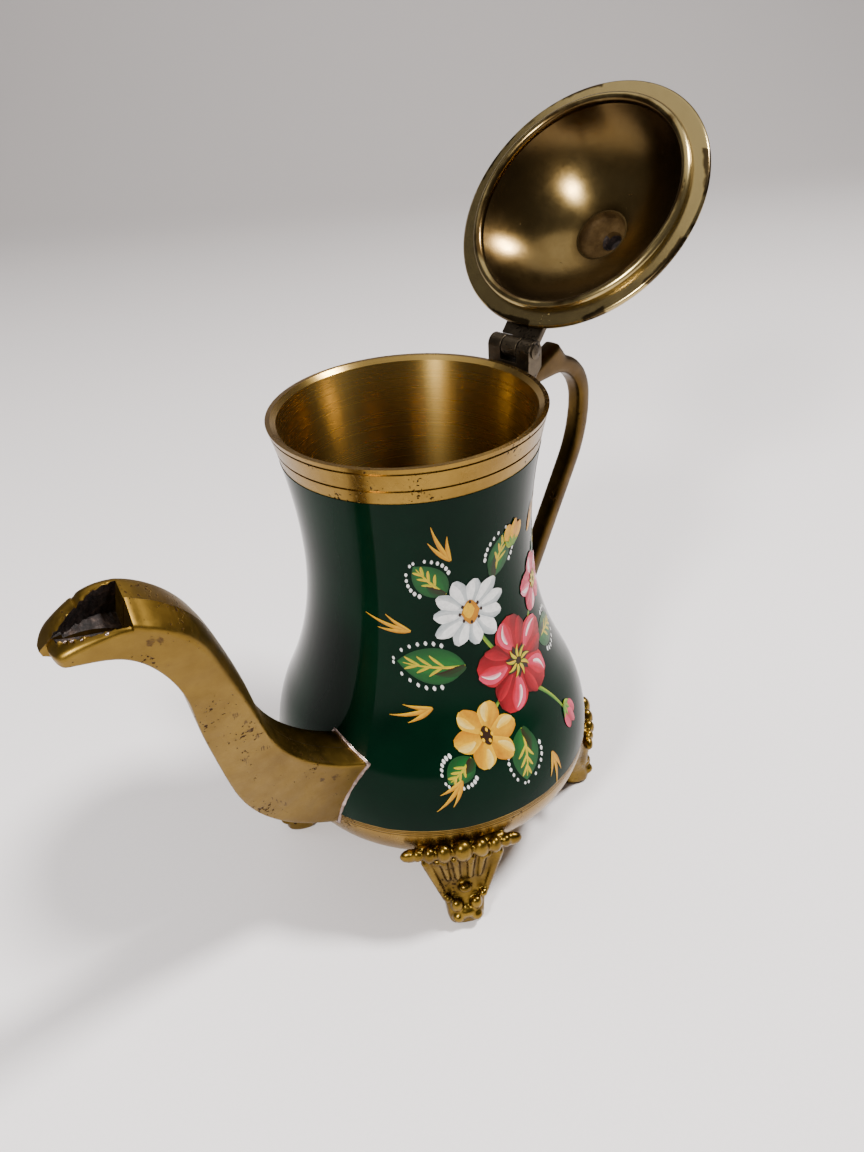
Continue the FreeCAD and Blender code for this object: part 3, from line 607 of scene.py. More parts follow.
def makeHingeLeaf(nodeName, pieceName, body):
    c = castSet
    bm = copyNode(nodeName)
    folds = [edge for edge in bm.edges if len(edge.link_faces) == 2]
    sharp = [edge for edge in folds if edge.calc_face_angle(0) > c["hingeSharp"]]
    bmesh.ops.bevel(bm, geom=sharp, offset=c["hingeWidth"], offset_type="OFFSET", segments=c["hingeSegments"],
                    profile=0.5, affect="EDGES", clamp_overlap=True, material=-1)
    bmesh.ops.recalc_face_normals(bm, faces=bm.faces[:])
    piece = finishMesh(pieceName, bm, hingeBrass, body)
    weigh = piece.modifiers.new("weigh", "WEIGHTED_NORMAL")
    weigh.keep_sharp = True
    weigh.weight = 100
    piece.data.set_sharp_from_angle(angle=c["hingeCrease"])
    applyModifiers(piece)
    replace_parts(piece, nodeName)


makeHandle()
makeHingeLeaf("hinge_body_leaf", "hingeBodyLeaf", "pot")
makeHingeLeaf("hinge_lid_leaf", "hingeLidLeaf", "lid")
print("cast pieces done")

# solder bead where the spout meets the body, and drops of it left on the mouth
solderSet = {
    "radius": 0.62 * mm, "uneven": 0.4, "sink": 0.12 * mm, "steps": 26, "sides": 10,
    "search": (28.5, 50.0), "halvings": 40, "tones": ((0.16, 0.11, 0.09), (0.42, 0.32, 0.29)),
    "drops": [(79.4, 4.5, 121.8, 0.45), (84.6, 3.0, 121.2, 0.4), (83.2, 3.6, 121.4, 0.3),
              (85.6, 2.4, 120.9, 0.35)],
}


def heightAt(line, out):
    for a, b in zip(line, line[1:]):
        if a.x <= out <= b.x:
            return a.y + (b.y - a.y) * (out - a.x) / (b.x - a.x)
    return line[0].y


def meetBody(across, height):
    near, far = solderSet["search"]
    for _ in range(solderSet["halvings"]):
        out = (near + far) / 2
        point = toWorld @ (Vector((out, across, height(out))) * mm)
        if math.hypot(point.x, point.y) < potRadius(point.z):
            near = out
        else:
            far = out
    return point


def solderPath():
    f = spoutForm
    half, steps = f["half"], solderSet["steps"]
    top = spoutLine(f["top"], f["beakTop"][1])
    low = spoutLine(f["low"], f["beakLow"][1])

    def between(share):
        return lambda out: heightAt(low, out) + (heightAt(top, out) - heightAt(low, out)) * share

    path = [meetBody(half, between(i / steps)) for i in range(steps)]
    path += [meetBody(half * (1 - 4 * i / steps), between(1)) for i in range(steps // 2)]
    path += [meetBody(-half, between(1 - i / steps)) for i in range(steps)]
    path += [meetBody(-half * (1 - 4 * i / steps), between(0)) for i in range(steps // 2)]
    return path


def makeSolder():
    s = solderSet
    material, tree, shader, coords = startMaterial("solder")
    blotch = addNoise(tree, coords, 500.0, 4.0, 0.6)
    colour = addRamp(tree, blotch, list(zip((0.35, 0.65), s["tones"])))
    rough = addRange(tree, blotch, 0.3, 0.7, 0.5, 0.25)
    dress(tree, shader, {"Base Color": colour, "Roughness": rough, "Metallic": 1.0})
    addBump(tree, shader, addNoise(tree, coords, 1500.0, 3.0), 0.06 * mm, 0.6)
    path = solderPath()
    count = len(path)
    bm = bmesh.new()
    rings = []
    for i, point in enumerate(path):
        along = (path[(i + 1) % count] - path[i - 1]).normalized()
        outward = Vector((point.x, point.y, 0)).normalized()
        side = along.cross(outward).normalized()
        radius = s["radius"] * (1 + s["uneven"] * noise.noise(point * 600))
        centre = point - outward * s["sink"]
        circle = bmesh.ops.create_circle(bm, cap_ends=False, segments=s["sides"], radius=radius)["verts"]
        turn = Matrix((side, outward, along)).transposed().to_4x4()
        bmesh.ops.transform(bm, matrix=Matrix.Translation(centre) @ turn, verts=circle)
        rings.append(circle)
    for i in range(count):
        here, after = rings[i - 1], rings[i]
        for j in range(s["sides"]):
            bm.faces.new((here[j - 1], here[j], after[j], after[j - 1]))
    for out, across, up, size in s["drops"]:
        place = Matrix.Translation(toWorld @ (Vector((out, across, up)) * mm))
        flat = Matrix.Diagonal((1.0, 0.7, 0.6, 1.0))
        bmesh.ops.create_uvsphere(bm, u_segments=14, v_segments=9, radius=size * mm, matrix=place @ flat)
    bmesh.ops.recalc_face_normals(bm, faces=bm.faces[:])
    finishMesh("spoutSolder", bm, material, "pot")


makeSolder()
print("solder done")

# finial: a turned knob on a spigot that shows through the lid as a rough dark socket
# radius and height in mm, with the lid closed
finialShape = {
    "outline": [(6.75, 137.1), (6.75, 139.3), (8.8, 139.3), (8.8, 140.5), (8.3, 140.9), (7.3, 141.6),
                (7.0, 143.5), (6.6, 145.6), (3.6, 148.3), (4.4, 149.3), (5.7, 150.5), (6.4, 152.1),
                (6.2, 153.5), (5.2, 154.6), (2.4, 156.9), (3.0, 157.6), (2.2, 158.4), (1.2, 161.0),
                (0.9, 162.6), (0.0, 162.9)],
    "socket": [(6.3, 137.1), (6.1, 137.9), (5.7, 138.6), (4.8, 138.9), (3.6, 138.9), (2.6, 139.1),
               (2.2, 140.2), (1.9, 142.0), (0.0, 142.3)],
    "socketRadius": 6.1, "socketTop": 143.0, "crustRadius": 6.2, "crustTop": 142.5, "holeFrom": 139.7,
    "hole": (0.6, -4.2), "holeReach": 6.0, "ragged": 0.45, "raggedRadius": 5.8, "steps": 72,
    "sharp": math.radians(50),
}


def breakSocket(vert):
    f = finialShape
    flat = math.hypot(vert.co.x, vert.co.y) / mm
    if vert.co.z < f["socketTop"] * mm and flat < f["socketRadius"]:     # its bottom is broken and off centre
        push = max(1 - flat / f["holeReach"], 0.0)
        vert.co.x += f["hole"][0] * mm * push
        vert.co.y += f["hole"][1] * mm * push
        vert.co.z += f["ragged"] * mm * noise.noise(vert.co * 420) * (1 if flat < f["raggedRadius"] else 0)


def makeFinial():
    f = finialShape
    bm = bmesh.new()
    line = [bm.verts.new((r * mm, 0, z * mm)) for r, z in f["socket"][::-1] + f["outline"]]
    edges = [bm.edges.new(pair) for pair in zip(line, line[1:])]
    bmesh.ops.spin(bm, geom=line + edges, cent=(0, 0, 0), axis=(0, 0, 1), angle=math.tau,
                   steps=f["steps"], use_merge=True)
    bmesh.ops.remove_doubles(bm, verts=bm.verts[:], dist=1e-6)
    for vert in bm.verts:
        breakSocket(vert)
    bmesh.ops.recalc_face_normals(bm, faces=bm.faces[:])
    for face in bm.faces:
        middle = face.calc_center_median()
        flat = math.hypot(middle.x, middle.y)
        if flat < f["crustRadius"] * mm and middle.z < f["crustTop"] * mm:
            # the hole takes the near-black painted shade, the rest of the socket the brown crust
            face.material_index = 2 if middle.z > f["holeFrom"] * mm else 1
    hinge = Matrix.Translation(lidHinge)
    opened = hinge @ Matrix.Rotation(lidOpen, 4, "Y") @ hinge.inverted()
    bmesh.ops.transform(bm, matrix=opened, verts=bm.verts[:])
    finial = finishMesh("lidFinial", bm, lidBrass, "lid")
    finial.data.materials.append(makeCrustAndShade("socketCrust", crustAndShadeTones["socket"], 300.0, 0.1))
    finial.data.materials.append(holeShade)
    finial.data.set_sharp_from_angle(angle=f["sharp"])
    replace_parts(finial, "lid_finial")


makeFinial()
print("finial done")

# feet: a row of beads under the bowl, ribbed leaves running down to a knuckled paw; across, out and up in mm
footShape = {
    "azimuths": {"foot_front_left": 143, "foot_front_right": 233,
                 "foot_rear_left": 53, "foot_rear_right": -37},
    "rings": [(0.0, 36.2, 43.4, 4.2), (0.8, 35.8, 44.2, 4.7), (3.0, 35.5, 44.3, 4.9),
              (5.5, 35.2, 43.4, 5.2), (9.0, 34.8, 42.2, 6.1), (12.5, 34.4, 41.7, 7.1),
              (16.5, 34.2, 41.6, 8.8), (20.5, 34.4, 41.7, 10.0), (24.5, 35.4, 41.7, 11.3),
              (26.8, 37.0, 41.0, 10.8)],
    "beads": [(0.0, 42.5, 25.7, (2.2, 2.5, 3.1)), (4.5, 42.3, 25.5, (1.8, 2.0, 2.7)),
              (8.0, 41.7, 25.2, (1.7, 1.7, 2.3)), (10.8, 40.9, 24.9, (1.4, 1.4, 1.8))],
    "leafEnds": [(12.4, 40.1, 24.3, (1.4, 2.7, 1.9))],
    "scallops": [(2.2, 42.0, 22.4, 0.9), (6.2, 41.8, 22.3, 0.9)],
    "knobs": [(0.0, 42.6, 12.4, (1.3, 1.8, 1.3)), (2.4, 43.3, 7.0, (1.4, 1.6, 2.0)),
              (0.0, 43.6, 4.6, (1.6, 2.8, 1.7)), (2.3, 43.9, 3.4, 1.6), (4.4, 42.8, 9.6, 1.1)],
    "ribs": [[(1.9, 41.8, 21.4), (1.5, 41.9, 15.6), 1.05],
             [(4.8, 41.7, 21.6), (3.9, 41.7, 15.4), 0.95],
             [(9.0, 41.1, 22.0), (5.0, 41.9, 8.6), 1.25]],
    "ribSteps": 14, "ribTaper": 0.35, "square": 0.55, "seatFrom": 19.0 * mm, "seat": 0.04 * mm,
    "voxel": 0.3 * mm, "sides": 28, "smoothing": 4,
    "hollow": 0.05 * mm, "hollowRounds": 4, "hollowMost": 0.65,
}


def addBall(bm, across, out, up, size):
    sizes = (size, size, size) if isinstance(size, float) else size
    place = Matrix.Translation(Vector((out, across, up)) * mm)
    grow = Matrix.Diagonal((*[one * mm for one in sizes], 1.0))
    bmesh.ops.create_uvsphere(bm, u_segments=18, v_segments=12, radius=1.0, matrix=place @ grow)


def markHollowShade(bm):
    # darkness in the hollows of the feet: painted shade
    stainAndHollowShade = bm.verts.layers.float.new("stainAndHollowShade")
    bm.normal_update()
    beside = {vert: [edge.other_vert(vert) for edge in vert.link_edges] for vert in bm.verts}
    for vert, near in beside.items():
        middle = sum((other.co for other in near), Vector()) / len(near)
        vert[stainAndHollowShade] = (middle - vert.co).dot(vert.normal) / footShape["hollow"]
    for _ in range(footShape["hollowRounds"]):
        levels = {}
        for vert, near in beside.items():
            levels[vert] = (vert[stainAndHollowShade] + sum(other[stainAndHollowShade] for other in near)) / (1 + len(near))
        for vert, level in levels.items():
            vert[stainAndHollowShade] = level
    for vert in bm.verts:
        vert[stainAndHollowShade] = min(max(vert[stainAndHollowShade], 0.0), footShape["hollowMost"])


def makeFootForm():
    f = footShape
    bm = bmesh.new()
    loops = []
    for up, inner, outer, half in f["rings"]:
        loop = bmesh.ops.create_circle(bm, cap_ends=False, segments=f["sides"], radius=1.0)["verts"]
        for vert in loop:
            x, y = vert.co.x, vert.co.y
            square = 1.0 / max(abs(x), abs(y)) ** f["square"]
            out = (inner + outer) / 2 + x * square * (outer - inner) / 2
            vert.co = Vector((out, y * square * half, up)) * mm
        loops.append(loop)
    for lower, upper in zip(loops, loops[1:]):
        for j in range(f["sides"]):
            bm.faces.new((lower[j - 1], lower[j], upper[j], upper[j - 1]))
    bm.faces.new(reversed(loops[0]))
    bm.faces.new(loops[-1])
    for across, out, up, size in f["beads"] + f["scallops"] + f["knobs"] + f["leafEnds"]:
        for sign in ((1, -1) if across else (1,)):
            addBall(bm, sign * across, out, up, size)
    for start, end, size in f["ribs"]:
        for sign in (1, -1):
            for step in range(f["ribSteps"] + 1):
                share = step / f["ribSteps"]
                spot = Vector(start).lerp(Vector(end), share)
                addBall(bm, sign * spot.x, spot.y, spot.z, size * (1 - f["ribTaper"] * share))
    bmesh.ops.recalc_face_normals(bm, faces=bm.faces[:])
    bm = fuseMesh(bm, f["voxel"])
    smoothVerts(bm, bm.verts[:], f["smoothing"])
    markHollowShade(bm)
    return bm


def makeFeet():
    f = footShape
    form = makeFootForm()
    for nodeName, azimuth in f["azimuths"].items():
        bm = form.copy()
        turn = Matrix.Rotation(math.radians(azimuth), 3, "Z")
        bmesh.ops.rotate(bm, verts=bm.verts[:], cent=(0, 0, 0), matrix=turn)
        for vert in bm.verts:
            flat = math.hypot(vert.co.x, vert.co.y)
            if vert.co.z > f["seatFrom"] and flat < potRadius(vert.co.z):     # seated against the bowl
                grow = (potRadius(vert.co.z) - f["seat"]) / flat
                vert.co.x *= grow
                vert.co.y *= grow
            vert.co.z = max(vert.co.z, 0.0)
        bmesh.ops.recalc_face_normals(bm, faces=bm.faces[:])
        foot = finishMesh(nodeName + "Cast", bm, footBrass, "pot")
        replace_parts(foot, nodeName)
    form.free()


makeFeet()
print("feet done")

# enamel coat from the base line to the rim band
coatShape = {
    "low": 32.1 * mm, "high": 113.6 * mm, "thick": 0.16 * mm, "sink": 0.05 * mm, "rows": 40, "steps": 160,
    "waver": 0.22 * mm, "waverFrom": 0.1 * mm, "sharp": math.radians(40),
    "tones": ((0.0005, 0.0065, 0.003), (0.0009, 0.0115, 0.005)),
}


def makeEnamel():
    material, tree, shader, coords = startMaterial("greenEnamel")
    clouds = addNoise(tree, coords, 40.0, 3.0)
    colour = addRamp(tree, clouds, list(zip((0.35, 0.7), coatShape["tones"])))
    smear = addNoise(tree, coords, 180.0, 5.0, 0.6, 0.5)
    rough = addRange(tree, smear, 0.35, 0.75, 0.06, 0.13)
    dress(tree, shader, {"Base Color": colour, "Roughness": rough, "Specular IOR Level": 0.05})
    peel = addNoise(tree, coords, 320.0, 2.0, 0.5)
    strokes = addNoise(tree, addMapping(tree, coords, scale=(700.0, 700.0, 60.0)), 1.0, 2.0, 0.6)
    under = addBump(tree, shader, peel, 0.03 * mm, 0.25)
    addBump(tree, shader, strokes, 0.01 * mm, 0.5, under)
    return material


def makeCoat():
    c = coatShape
    bm = bmesh.new()
    heights = [c["low"] + (c["high"] - c["low"]) * row / c["rows"] for row in range(c["rows"] + 1)]
    ring = [bm.verts.new((potRadius(z) + c["thick"], 0, z)) for z in heights]
    ring += [bm.verts.new((potRadius(z) - c["sink"], 0, z)) for z in reversed(heights)]
    edges = [bm.edges.new((ring[i - 1], ring[i])) for i in range(len(ring))]
    bmesh.ops.spin(bm, geom=ring + edges, cent=(0, 0, 0), axis=(0, 0, 1), angle=math.tau,
                   steps=c["steps"], use_merge=True)
    bmesh.ops.remove_doubles(bm, verts=bm.verts[:], dist=1e-7)
    for vert in bm.verts:
        if vert.co.z < c["low"] + c["waverFrom"]:     # the hand-painted lower edge wavers a little
            vert.co.z += c["waver"] * noise.noise(Vector((vert.co.x, vert.co.y, 0)) * 220)
    bmesh.ops.recalc_face_normals(bm, faces=bm.faces[:])
    coat = finishMesh("enamelCoat", bm, makeEnamel(), "pot")
    coat.data.set_sharp_from_angle(angle=c["sharp"])


makeCoat()
print("enamel done")

# painted spray of folk flowers: right and up in mm from its middle, seen from outside
spray = {
    "azimuth": math.radians(-95.0), "height": 70.0 * mm, "scale": 1.3,
    "skin": 0.17 * mm, "layer": 0.05 * mm, "overlap": 0.004, "thick": 0.05 * mm,
    "stems": [((1, -4), (-6, 6), (-6, 11)), ((1, -4), (8, 2), (11, 8)), ((1, -6), (-5, -7), (-8, -12)),
              ((3, -8), (8, -12), (10.5, -17)), ((-5, 12), (-1, 15), (2.5, 19.5))],
    "leaves": [(-8.5, 0.5, 2.95, 11.5, 6.6), (-10, 15, 2.25, 8.0, 5), (-1, 15.5, 1.2, 8.4, 4.6),
               (9.5, -3, -0.15, 9, 5.2), (-1.5, -14, 4.5, 9.6, 5.6), (-12.5, -15.5, 3.75, 6.6, 4.2),
               (13, 12, 0.9, 6.6, 4)],
    "blades": [(-16.5, 8.5, 2.75), (-15.5, -19, 3.9), (3.5, -21.5, 4.75), (9.5, 19.0, 0.95),
               (-9.0, 21.5, 2.0), (-16, -6, 3.3)],
}
paints = {
    "red": (0.36, 0.002, 0.012), "deepRed": (0.11, 0.0006, 0.003), "pink": (0.55, 0.045, 0.10),
    "rose": (0.30, 0.008, 0.03), "white": (0.72, 0.72, 0.70), "mist": (0.30, 0.34, 0.35),
    "yellow": (0.62, 0.34, 0.006), "ochre": (0.38, 0.145, 0.003), "leaf": (0.010, 0.115, 0.018),
    "deepLeaf": (0.004, 0.045, 0.01), "lime": (0.24, 0.32, 0.015), "umber": (0.022, 0.008, 0.004),
    "cream": (0.66, 0.50, 0.14), "blush": (0.66, 0.27, 0.33),
}
brush = {"mesh": bmesh.new(), "order": 0, "level": 0}
brush["colour"] = brush["mesh"].verts.layers.float_color.new("paint")


def sprayPoint(right, up, lift):
    z = spray["height"] + up * spray["scale"] * mm
    azimuth = spray["azimuth"] + right * spray["scale"] * mm / potRadius(z)
    return potPoint(azimuth, z, lift)


def stroke(path, widths, inner, outer, steps=14, across=6):
    bm = brush["mesh"]
    brush["order"] += 1
    base = spray["skin"] + spray["layer"] * (brush["level"] + spray["overlap"] * brush["order"])
    spots = [curvePoint(path, i / steps) for i in range(steps + 1)]
    rows = []
    for i, spot in enumerate(spots):
        along = (spots[min(i + 1, steps)] - spots[max(i - 1, 0)]).normalized()
        side = Vector((-along.y, along.x))
        share = i / steps
        half = 0.5 * curvePoint([Vector((w, 0)) for w in widths], share).x + 0.02
        body = 0.35 + 0.65 * math.sin(math.pi * min(max(share, 0.08), 0.92))     # paint thins at both ends
        row = []
        for j in range(across + 1):
            t = 2 * j / across - 1
            flat = spot + side * half * t
            crown = (1 - t * t) * min(half, 1.0) * body
            vert = bm.verts.new(sprayPoint(flat.x, flat.y, base + spray["thick"] * crown))
            streak = 0.4 * noise.noise(Vector((j * 1.7, i * 0.12, brush["order"] * 3.1)))
            mix = min(max((t + 1) / 2 + streak, 0), 1)
            tone = Vector(paints[inner]).lerp(Vector(paints[outer]), mix)
            vert[brush["colour"]] = (*tone, 1.0)
            row.append(vert)
        rows.append(row)
    for lower, upper in zip(rows, rows[1:]):
        for j in range(across):
            bm.faces.new((lower[j], lower[j + 1], upper[j + 1], upper[j]))


def curvePoint(points, share):
    points = [Vector(point) for point in points]
    while len(points) > 1:                     # points between points until one is left
        points = [a.lerp(b, share) for a, b in zip(points, points[1:])]
    return points[0]


def brushWay(angle):
    way = Vector((math.cos(angle), math.sin(angle)))
    return way, Vector((-way.y, way.x))


def ringSpot(right, up, reach, angle):
    return right + reach * math.cos(angle), up + reach * math.sin(angle)


def dot(right, up, size, colour):
    path = [(right - size * 0.5, up), (right + size * 0.5, up)]
    stroke(path, [0.1, size * 1.9, size * 1.9, 0.1], colour, colour, 6, 4)


def comma(right, up, angle, length, width, inner, outer, bend=0.25):
    way, side = brushWay(angle)
    start = Vector((right, up))
    path = [start, start + way * length * 0.5 + side * length * bend, start + way * length]
    stroke(path, [width * 0.5, width * 1.9, width * 0.7, 0.05], inner, outer)


def petal(right, up, angle, near, far, width, inner, outer, bend=0.0):
    way, side = brushWay(angle)
    middle = Vector((right, up))
    path = [middle + way * near, middle + way * (near + far) / 2 + side * bend, middle + way * far]
    stroke(path, [width * 0.35, width * 1.1, width * 1.9, width * 0.3], inner, outer, 16, 8)


def leaf(right, up, angle, length, width):
    way, side = brushWay(angle)
    start = Vector((right, up))
    tip = start + way * length
    brush["level"] = 1
    for sign, inner, outer in ((1, "leaf", "deepLeaf"), (-1, "deepLeaf", "leaf")):
        belly = start + way * length * 0.45 + side * sign * width * 0.42
        stroke([start, belly, tip], [0.3, width * 0.9, width * 0.75, 0.1], inner, outer, 16, 6)
    brush["level"] = 2
    comma(right, up, angle + 0.25, length * 0.5, 1.5, "umber", "deepLeaf", 0.2)
    vein = [start, start.lerp(tip, 0.5) + side * width * 0.06, start.lerp(tip, 0.92)]
    stroke(vein, [0.5, 0.5, 0.1], "lime", "yellow", 10, 3)
    for share in (0.32, 0.5, 0.68):
        for sign in (1, -1):
            root = start.lerp(tip, share)
            end = root + way * length * 0.22 + side * sign * width * 0.34 * (1.2 - share)
            stroke([root, root.lerp(end, 0.5) + way * 0.3, end], [0.15, 0.85, 0.1], "lime", "yellow", 8, 3)
    brush["level"] = 0
    for sign in (1, -1):                       # a row of dots along each edge
        for i in range(7):
            share = 0.34 + 0.66 * i / 6
            spread = (width * 0.52 * math.sin(math.pi * min(share, 0.97)) ** 0.8 + 0.85) * sign
            spot = start.lerp(tip, share * 1.06) + side * spread * (1.0 if i < 6 else 0.3)
            dot(spot.x, spot.y, 0.62 - 0.03 * i, "white")


def daisy(right, up, size, petals):
    for i in range(petals):
        angle = math.tau * i / petals + 0.2
        reach = size * (1 + 0.07 * math.sin(i * 2.3))
        brush["level"] = 3
        petal(right, up, angle, size * 0.2, reach, size * 0.36, "mist", "white", size * 0.05)
        brush["level"] = 4
        petal(right, up, angle + 0.1, size * 0.35, reach * 0.95, size * 0.15, "white", "white")
    brush["level"] = 5
    dot(right, up, size * 0.5, "ochre")
    brush["level"] = 6
    dot(right - size * 0.05, up + size * 0.06, size * 0.32, "yellow")
    for i in range(8):
        angle = math.tau * i / 8
        dot(*ringSpot(right, up, size * 0.29, angle), 0.5, "umber")


def poppy(right, up, size, deep, main, light):
    for i in range(5):
        angle = math.tau * i / 5 + 0.3
        brush["level"] = 3
        reach = size * (1 + 0.06 * math.sin(3 * i))
        petal(right, up, angle, size * 0.08, reach, size * 0.7, deep, main, size * 0.1)
        brush["level"] = 4
        petal(right, up, angle + 0.26, size * 0.32, size * 0.98, size * 0.3, main, light, size * 0.12)
        petal(right, up, angle - 0.24, size * 0.3, size * 0.9, size * 0.2, deep, main, -size * 0.08)
        brush["level"] = 5
        comma(*ringSpot(right, up, size * 0.5, angle + 0.4), angle + 0.1, size * 0.44, 0.7, light, "white")
    brush["level"] = 6
    for i in range(7):
        comma(right, up, math.tau * i / 7, size * 0.36, size * 0.16, "umber", "umber", 0.1)
    brush["level"] = 7
    for i in range(9):
        angle = math.tau * i / 9
        comma(*ringSpot(right, up, size * 0.08, angle), angle, size * 0.26, 0.5, "yellow", "lime")


def starFlower(right, up, size, inner, outer):
    for i in range(6):
        angle = math.tau * i / 6
        brush["level"] = 3
        petal(right, up, angle, size * 0.12, size, size * 0.56, inner, outer, size * 0.1)
        brush["level"] = 4
        petal(right, up, angle + 0.2, size * 0.4, size * 0.97, size * 0.2, outer, "cream", size * 0.1)
    brush["level"] = 5
    dot(right, up, size * 0.4, "umber")
    brush["level"] = 6
    for i in range(5):
        angle = math.tau * i / 5
        dot(*ringSpot(right, up, size * 0.17, angle), 0.5, "yellow")


def bud(right, up, angle, size, deep, light):
    brush["level"] = 3
    for turn, inner, outer in ((0.42, deep, light), (-0.42, light, deep)):
        petal(right, up, angle + turn, 0.0, size, size * 0.44, inner, outer)
    brush["level"] = 4
    petal(right, up, angle, 0.0, size * 1.1, size * 0.34, deep, light)
    brush["level"] = 5
    for turn in (0.95, -0.95, 0.35, -0.35):
        comma(right, up, angle + turn, size * 0.48, 0.85, "leaf", "lime", 0.1)


def paintSpray():
    brush["level"] = 0
    for path in spray["stems"]:
        stroke(path, [0.75, 0.6, 0.45], "leaf", "lime", 14, 3)
    for right, up, angle, length, width in spray["leaves"]:
        leaf(right, up, angle, length, width)
    daisy(-6, 10.5, 6.8, 11)
    starFlower(-8.5, -12.5, 6.0, "ochre", "yellow")
    poppy(11.2, 8.2, 5.4, "rose", "pink", "blush")
    poppy(2.0, -2.8, 8.8, "deepRed", "red", "pink")
    bud(3.2, 19.6, 1.35, 4.6, "ochre", "yellow")
    bud(10.5, -16.5, 5.2, 4.6, "rose", "pink")
    brush["level"] = 1
    for right, up, angle in spray["blades"]:
        for turn, length in ((0.0, 8.0), (0.3, 5.6), (-0.3, 5.0)):
            comma(right, up, angle + turn, length, 0.62, "yellow", "ochre", 0.08)


def makeFlowers():
    paintSpray()
    material, tree, shader, coords = startMaterial("brushPaint")
    tint = addNode(tree, "Attribute", {}, attribute_name="paint").outputs["Color"]
    shade = addNoise(tree, coords, 1100.0, 3.0, 0.6)
    grime = addRange(tree, shade, 0.3, 0.7, 0.0, 0.22)
    colour = addMix(tree, grime, tint, (0.02, 0.02, 0.015))
    rough = addRange(tree, shade, 0.3, 0.7, 0.28, 0.42)
    dress(tree, shader, {"Base Color": colour, "Roughness": rough, "Specular IOR Level": 0.15})
    addBump(tree, shader, addNoise(tree, coords, 2200.0, 2.0), 0.04 * mm, 0.5)
    bm = brush["mesh"]
    bmesh.ops.recalc_face_normals(bm, faces=bm.faces[:])
    for face in bm.faces:
        middle = face.calc_center_median()
        if face.normal.dot(Vector((middle.x, middle.y, 0))) < 0:
            face.normal_flip()
    finishMesh("flowerPaint", bm, material, "pot")


makeFlowers()
print("flowers done")

# stage: floor that sweeps up behind the pot, soft lights, camera
stageShape = {
    "width": 3.0, "front": 1.2, "back": 0.75, "height": 1.6, "bend": 0.45, "bendSteps": 12,
    # far: a greyer floor away from the front, painted shade
    "tint": (0.83, 0.80, 0.81), "far": (0.50, 0.475, 0.47),
}


def makeStage():
    s = stageShape
    material, tree, shader, coords = startMaterial("paleFloor")
    weave = addNoise(tree, coords, 900.0, 2.0)
    colour = addRamp(tree, weave, [(0.2, tuple(0.97 * c for c in s["tint"])), (0.8, s["tint"])])
    away = (-math.sin(cameraLook["heading"]), math.cos(cameraLook["heading"]), 0.3)
    depth = addVector(tree, "DOT_PRODUCT", coords, away, "Value")     # greyer away from the front: painted shade where the light falls off
    colour = addMix(tree, addRange(tree, depth, 0.0, 0.8, 0.0, 1.0), colour, s["far"])
    dress(tree, shader, {"Base Color": colour, "Roughness": 0.9})
    bm = bmesh.new()
    outline = [(-s["front"], 0.0), (s["back"], 0.0)]
    for step in range(1, s["bendSteps"] + 1):
        angle = math.pi / 2 * step / s["bendSteps"]
        outline.append((s["back"] + s["bend"] * math.sin(angle), s["bend"] * (1 - math.cos(angle))))
    outline.append((s["back"] + s["bend"], s["height"]))
    verts = [bm.verts.new((-s["width"] / 2, y, z)) for y, z in outline]
    edges = [bm.edges.new((verts[i], verts[i + 1])) for i in range(len(verts) - 1)]
    swept = bmesh.ops.extrude_edge_only(bm, edges=edges)
    moved = [item for item in swept["geom"] if isinstance(item, bmesh.types.BMVert)]
    bmesh.ops.translate(bm, verts=moved, vec=(s["width"], 0, 0))
    turn = Matrix.Rotation(cameraLook["heading"], 3, "Z")
    bmesh.ops.rotate(bm, verts=bm.verts[:], cent=(0, 0, 0), matrix=turn)
    bmesh.ops.recalc_face_normals(bm, faces=bm.faces[:])
    mesh = bpy.data.meshes.new("paleFloor")
    bm.to_mesh(mesh)
    bm.free()
    for poly in mesh.polygons:
        poly.use_smooth = True
    mesh.materials.append(material)
    floor = bpy.data.objects.new("paleFloor", mesh)
    scene.collection.objects.link(floor)


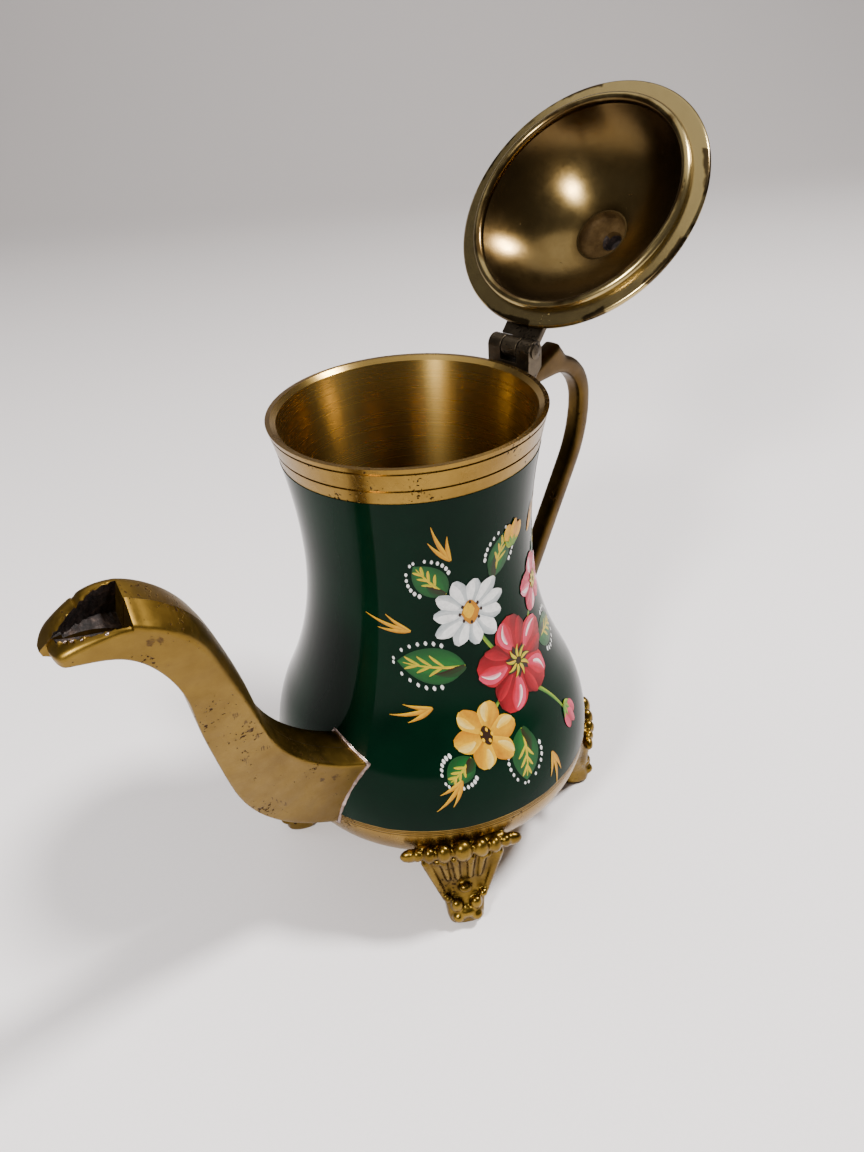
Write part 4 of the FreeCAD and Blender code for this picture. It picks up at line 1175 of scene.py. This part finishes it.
# the photograph's camera: a phone held close above the pot
cameraLook = {
    "place": Vector((-0.12985, -0.13775, 0.20340)),
    "heading": math.radians(-44.14),     # turn about Z of a camera that looked along +Y
    "down": math.radians(33.78),
    "roll": math.radians(-4.21),
    "lens": 28.99,
}


def makeCamera():
    c = cameraLook
    data = bpy.data.cameras.new("photoCamera")
    data.sensor_width = 36.0
    data.lens = c["lens"]
    data.clip_start = 0.01
    camera = bpy.data.objects.new("photoCamera", data)
    scene.collection.objects.link(camera)
    turn = (Matrix.Rotation(c["heading"], 4, "Z") @ Matrix.Rotation(math.pi / 2 - c["down"], 4, "X")
            @ Matrix.Rotation(c["roll"], 4, "Z"))
    camera.matrix_world = Matrix.Translation(c["place"]) @ turn
    scene.camera = camera


lampTint = (1.0, 0.97, 0.94)
worldLook = {"tint": (0.62, 0.60, 0.62), "strength": 0.24}
lightSet = {
    "right": {"place": (0.44, -0.31, 0.89), "aim": (0, 0, 0.05), "size": 0.16, "power": 20.0},
    "left": {"place": (-0.61, -0.17, 0.53), "aim": (0, 0, 0.07), "size": 0.13, "power": 7.5},
    "overhead": {"place": (0.1, 0.25, 1.2), "aim": (0, 0, 0), "size": 1.2, "power": 4.0},
    "window": {"place": (-0.55, 0.75, 0.5), "aim": (0, 0, 0.06), "size": 0.5, "power": 3.0, "hidden": True},
}


def makeLights():
    for name, light in lightSet.items():
        data = bpy.data.lights.new(name + "Light", "AREA")
        data.energy = light["power"]
        data.shape = "DISK"
        data.size = light["size"]
        data.color = lampTint
        lamp = bpy.data.objects.new(name + "Light", data)
        lamp.visible_glossy = "hidden" not in light     # kept out of the reflections
        scene.collection.objects.link(lamp)
        place = Vector(light["place"])
        lamp.matrix_world = (Matrix.Translation(place)
                             @ (Vector(light["aim"]) - place).to_track_quat("-Z", "Y").to_matrix().to_4x4())
    world = bpy.data.worlds.new("studio")
    world.use_nodes = True
    background = world.node_tree.nodes["Background"]
    background.inputs["Color"].default_value = (*worldLook["tint"], 1)
    background.inputs["Strength"].default_value = worldLook["strength"]
    scene.world = world


makeStage()
makeCamera()
makeLights()
print("stage done")
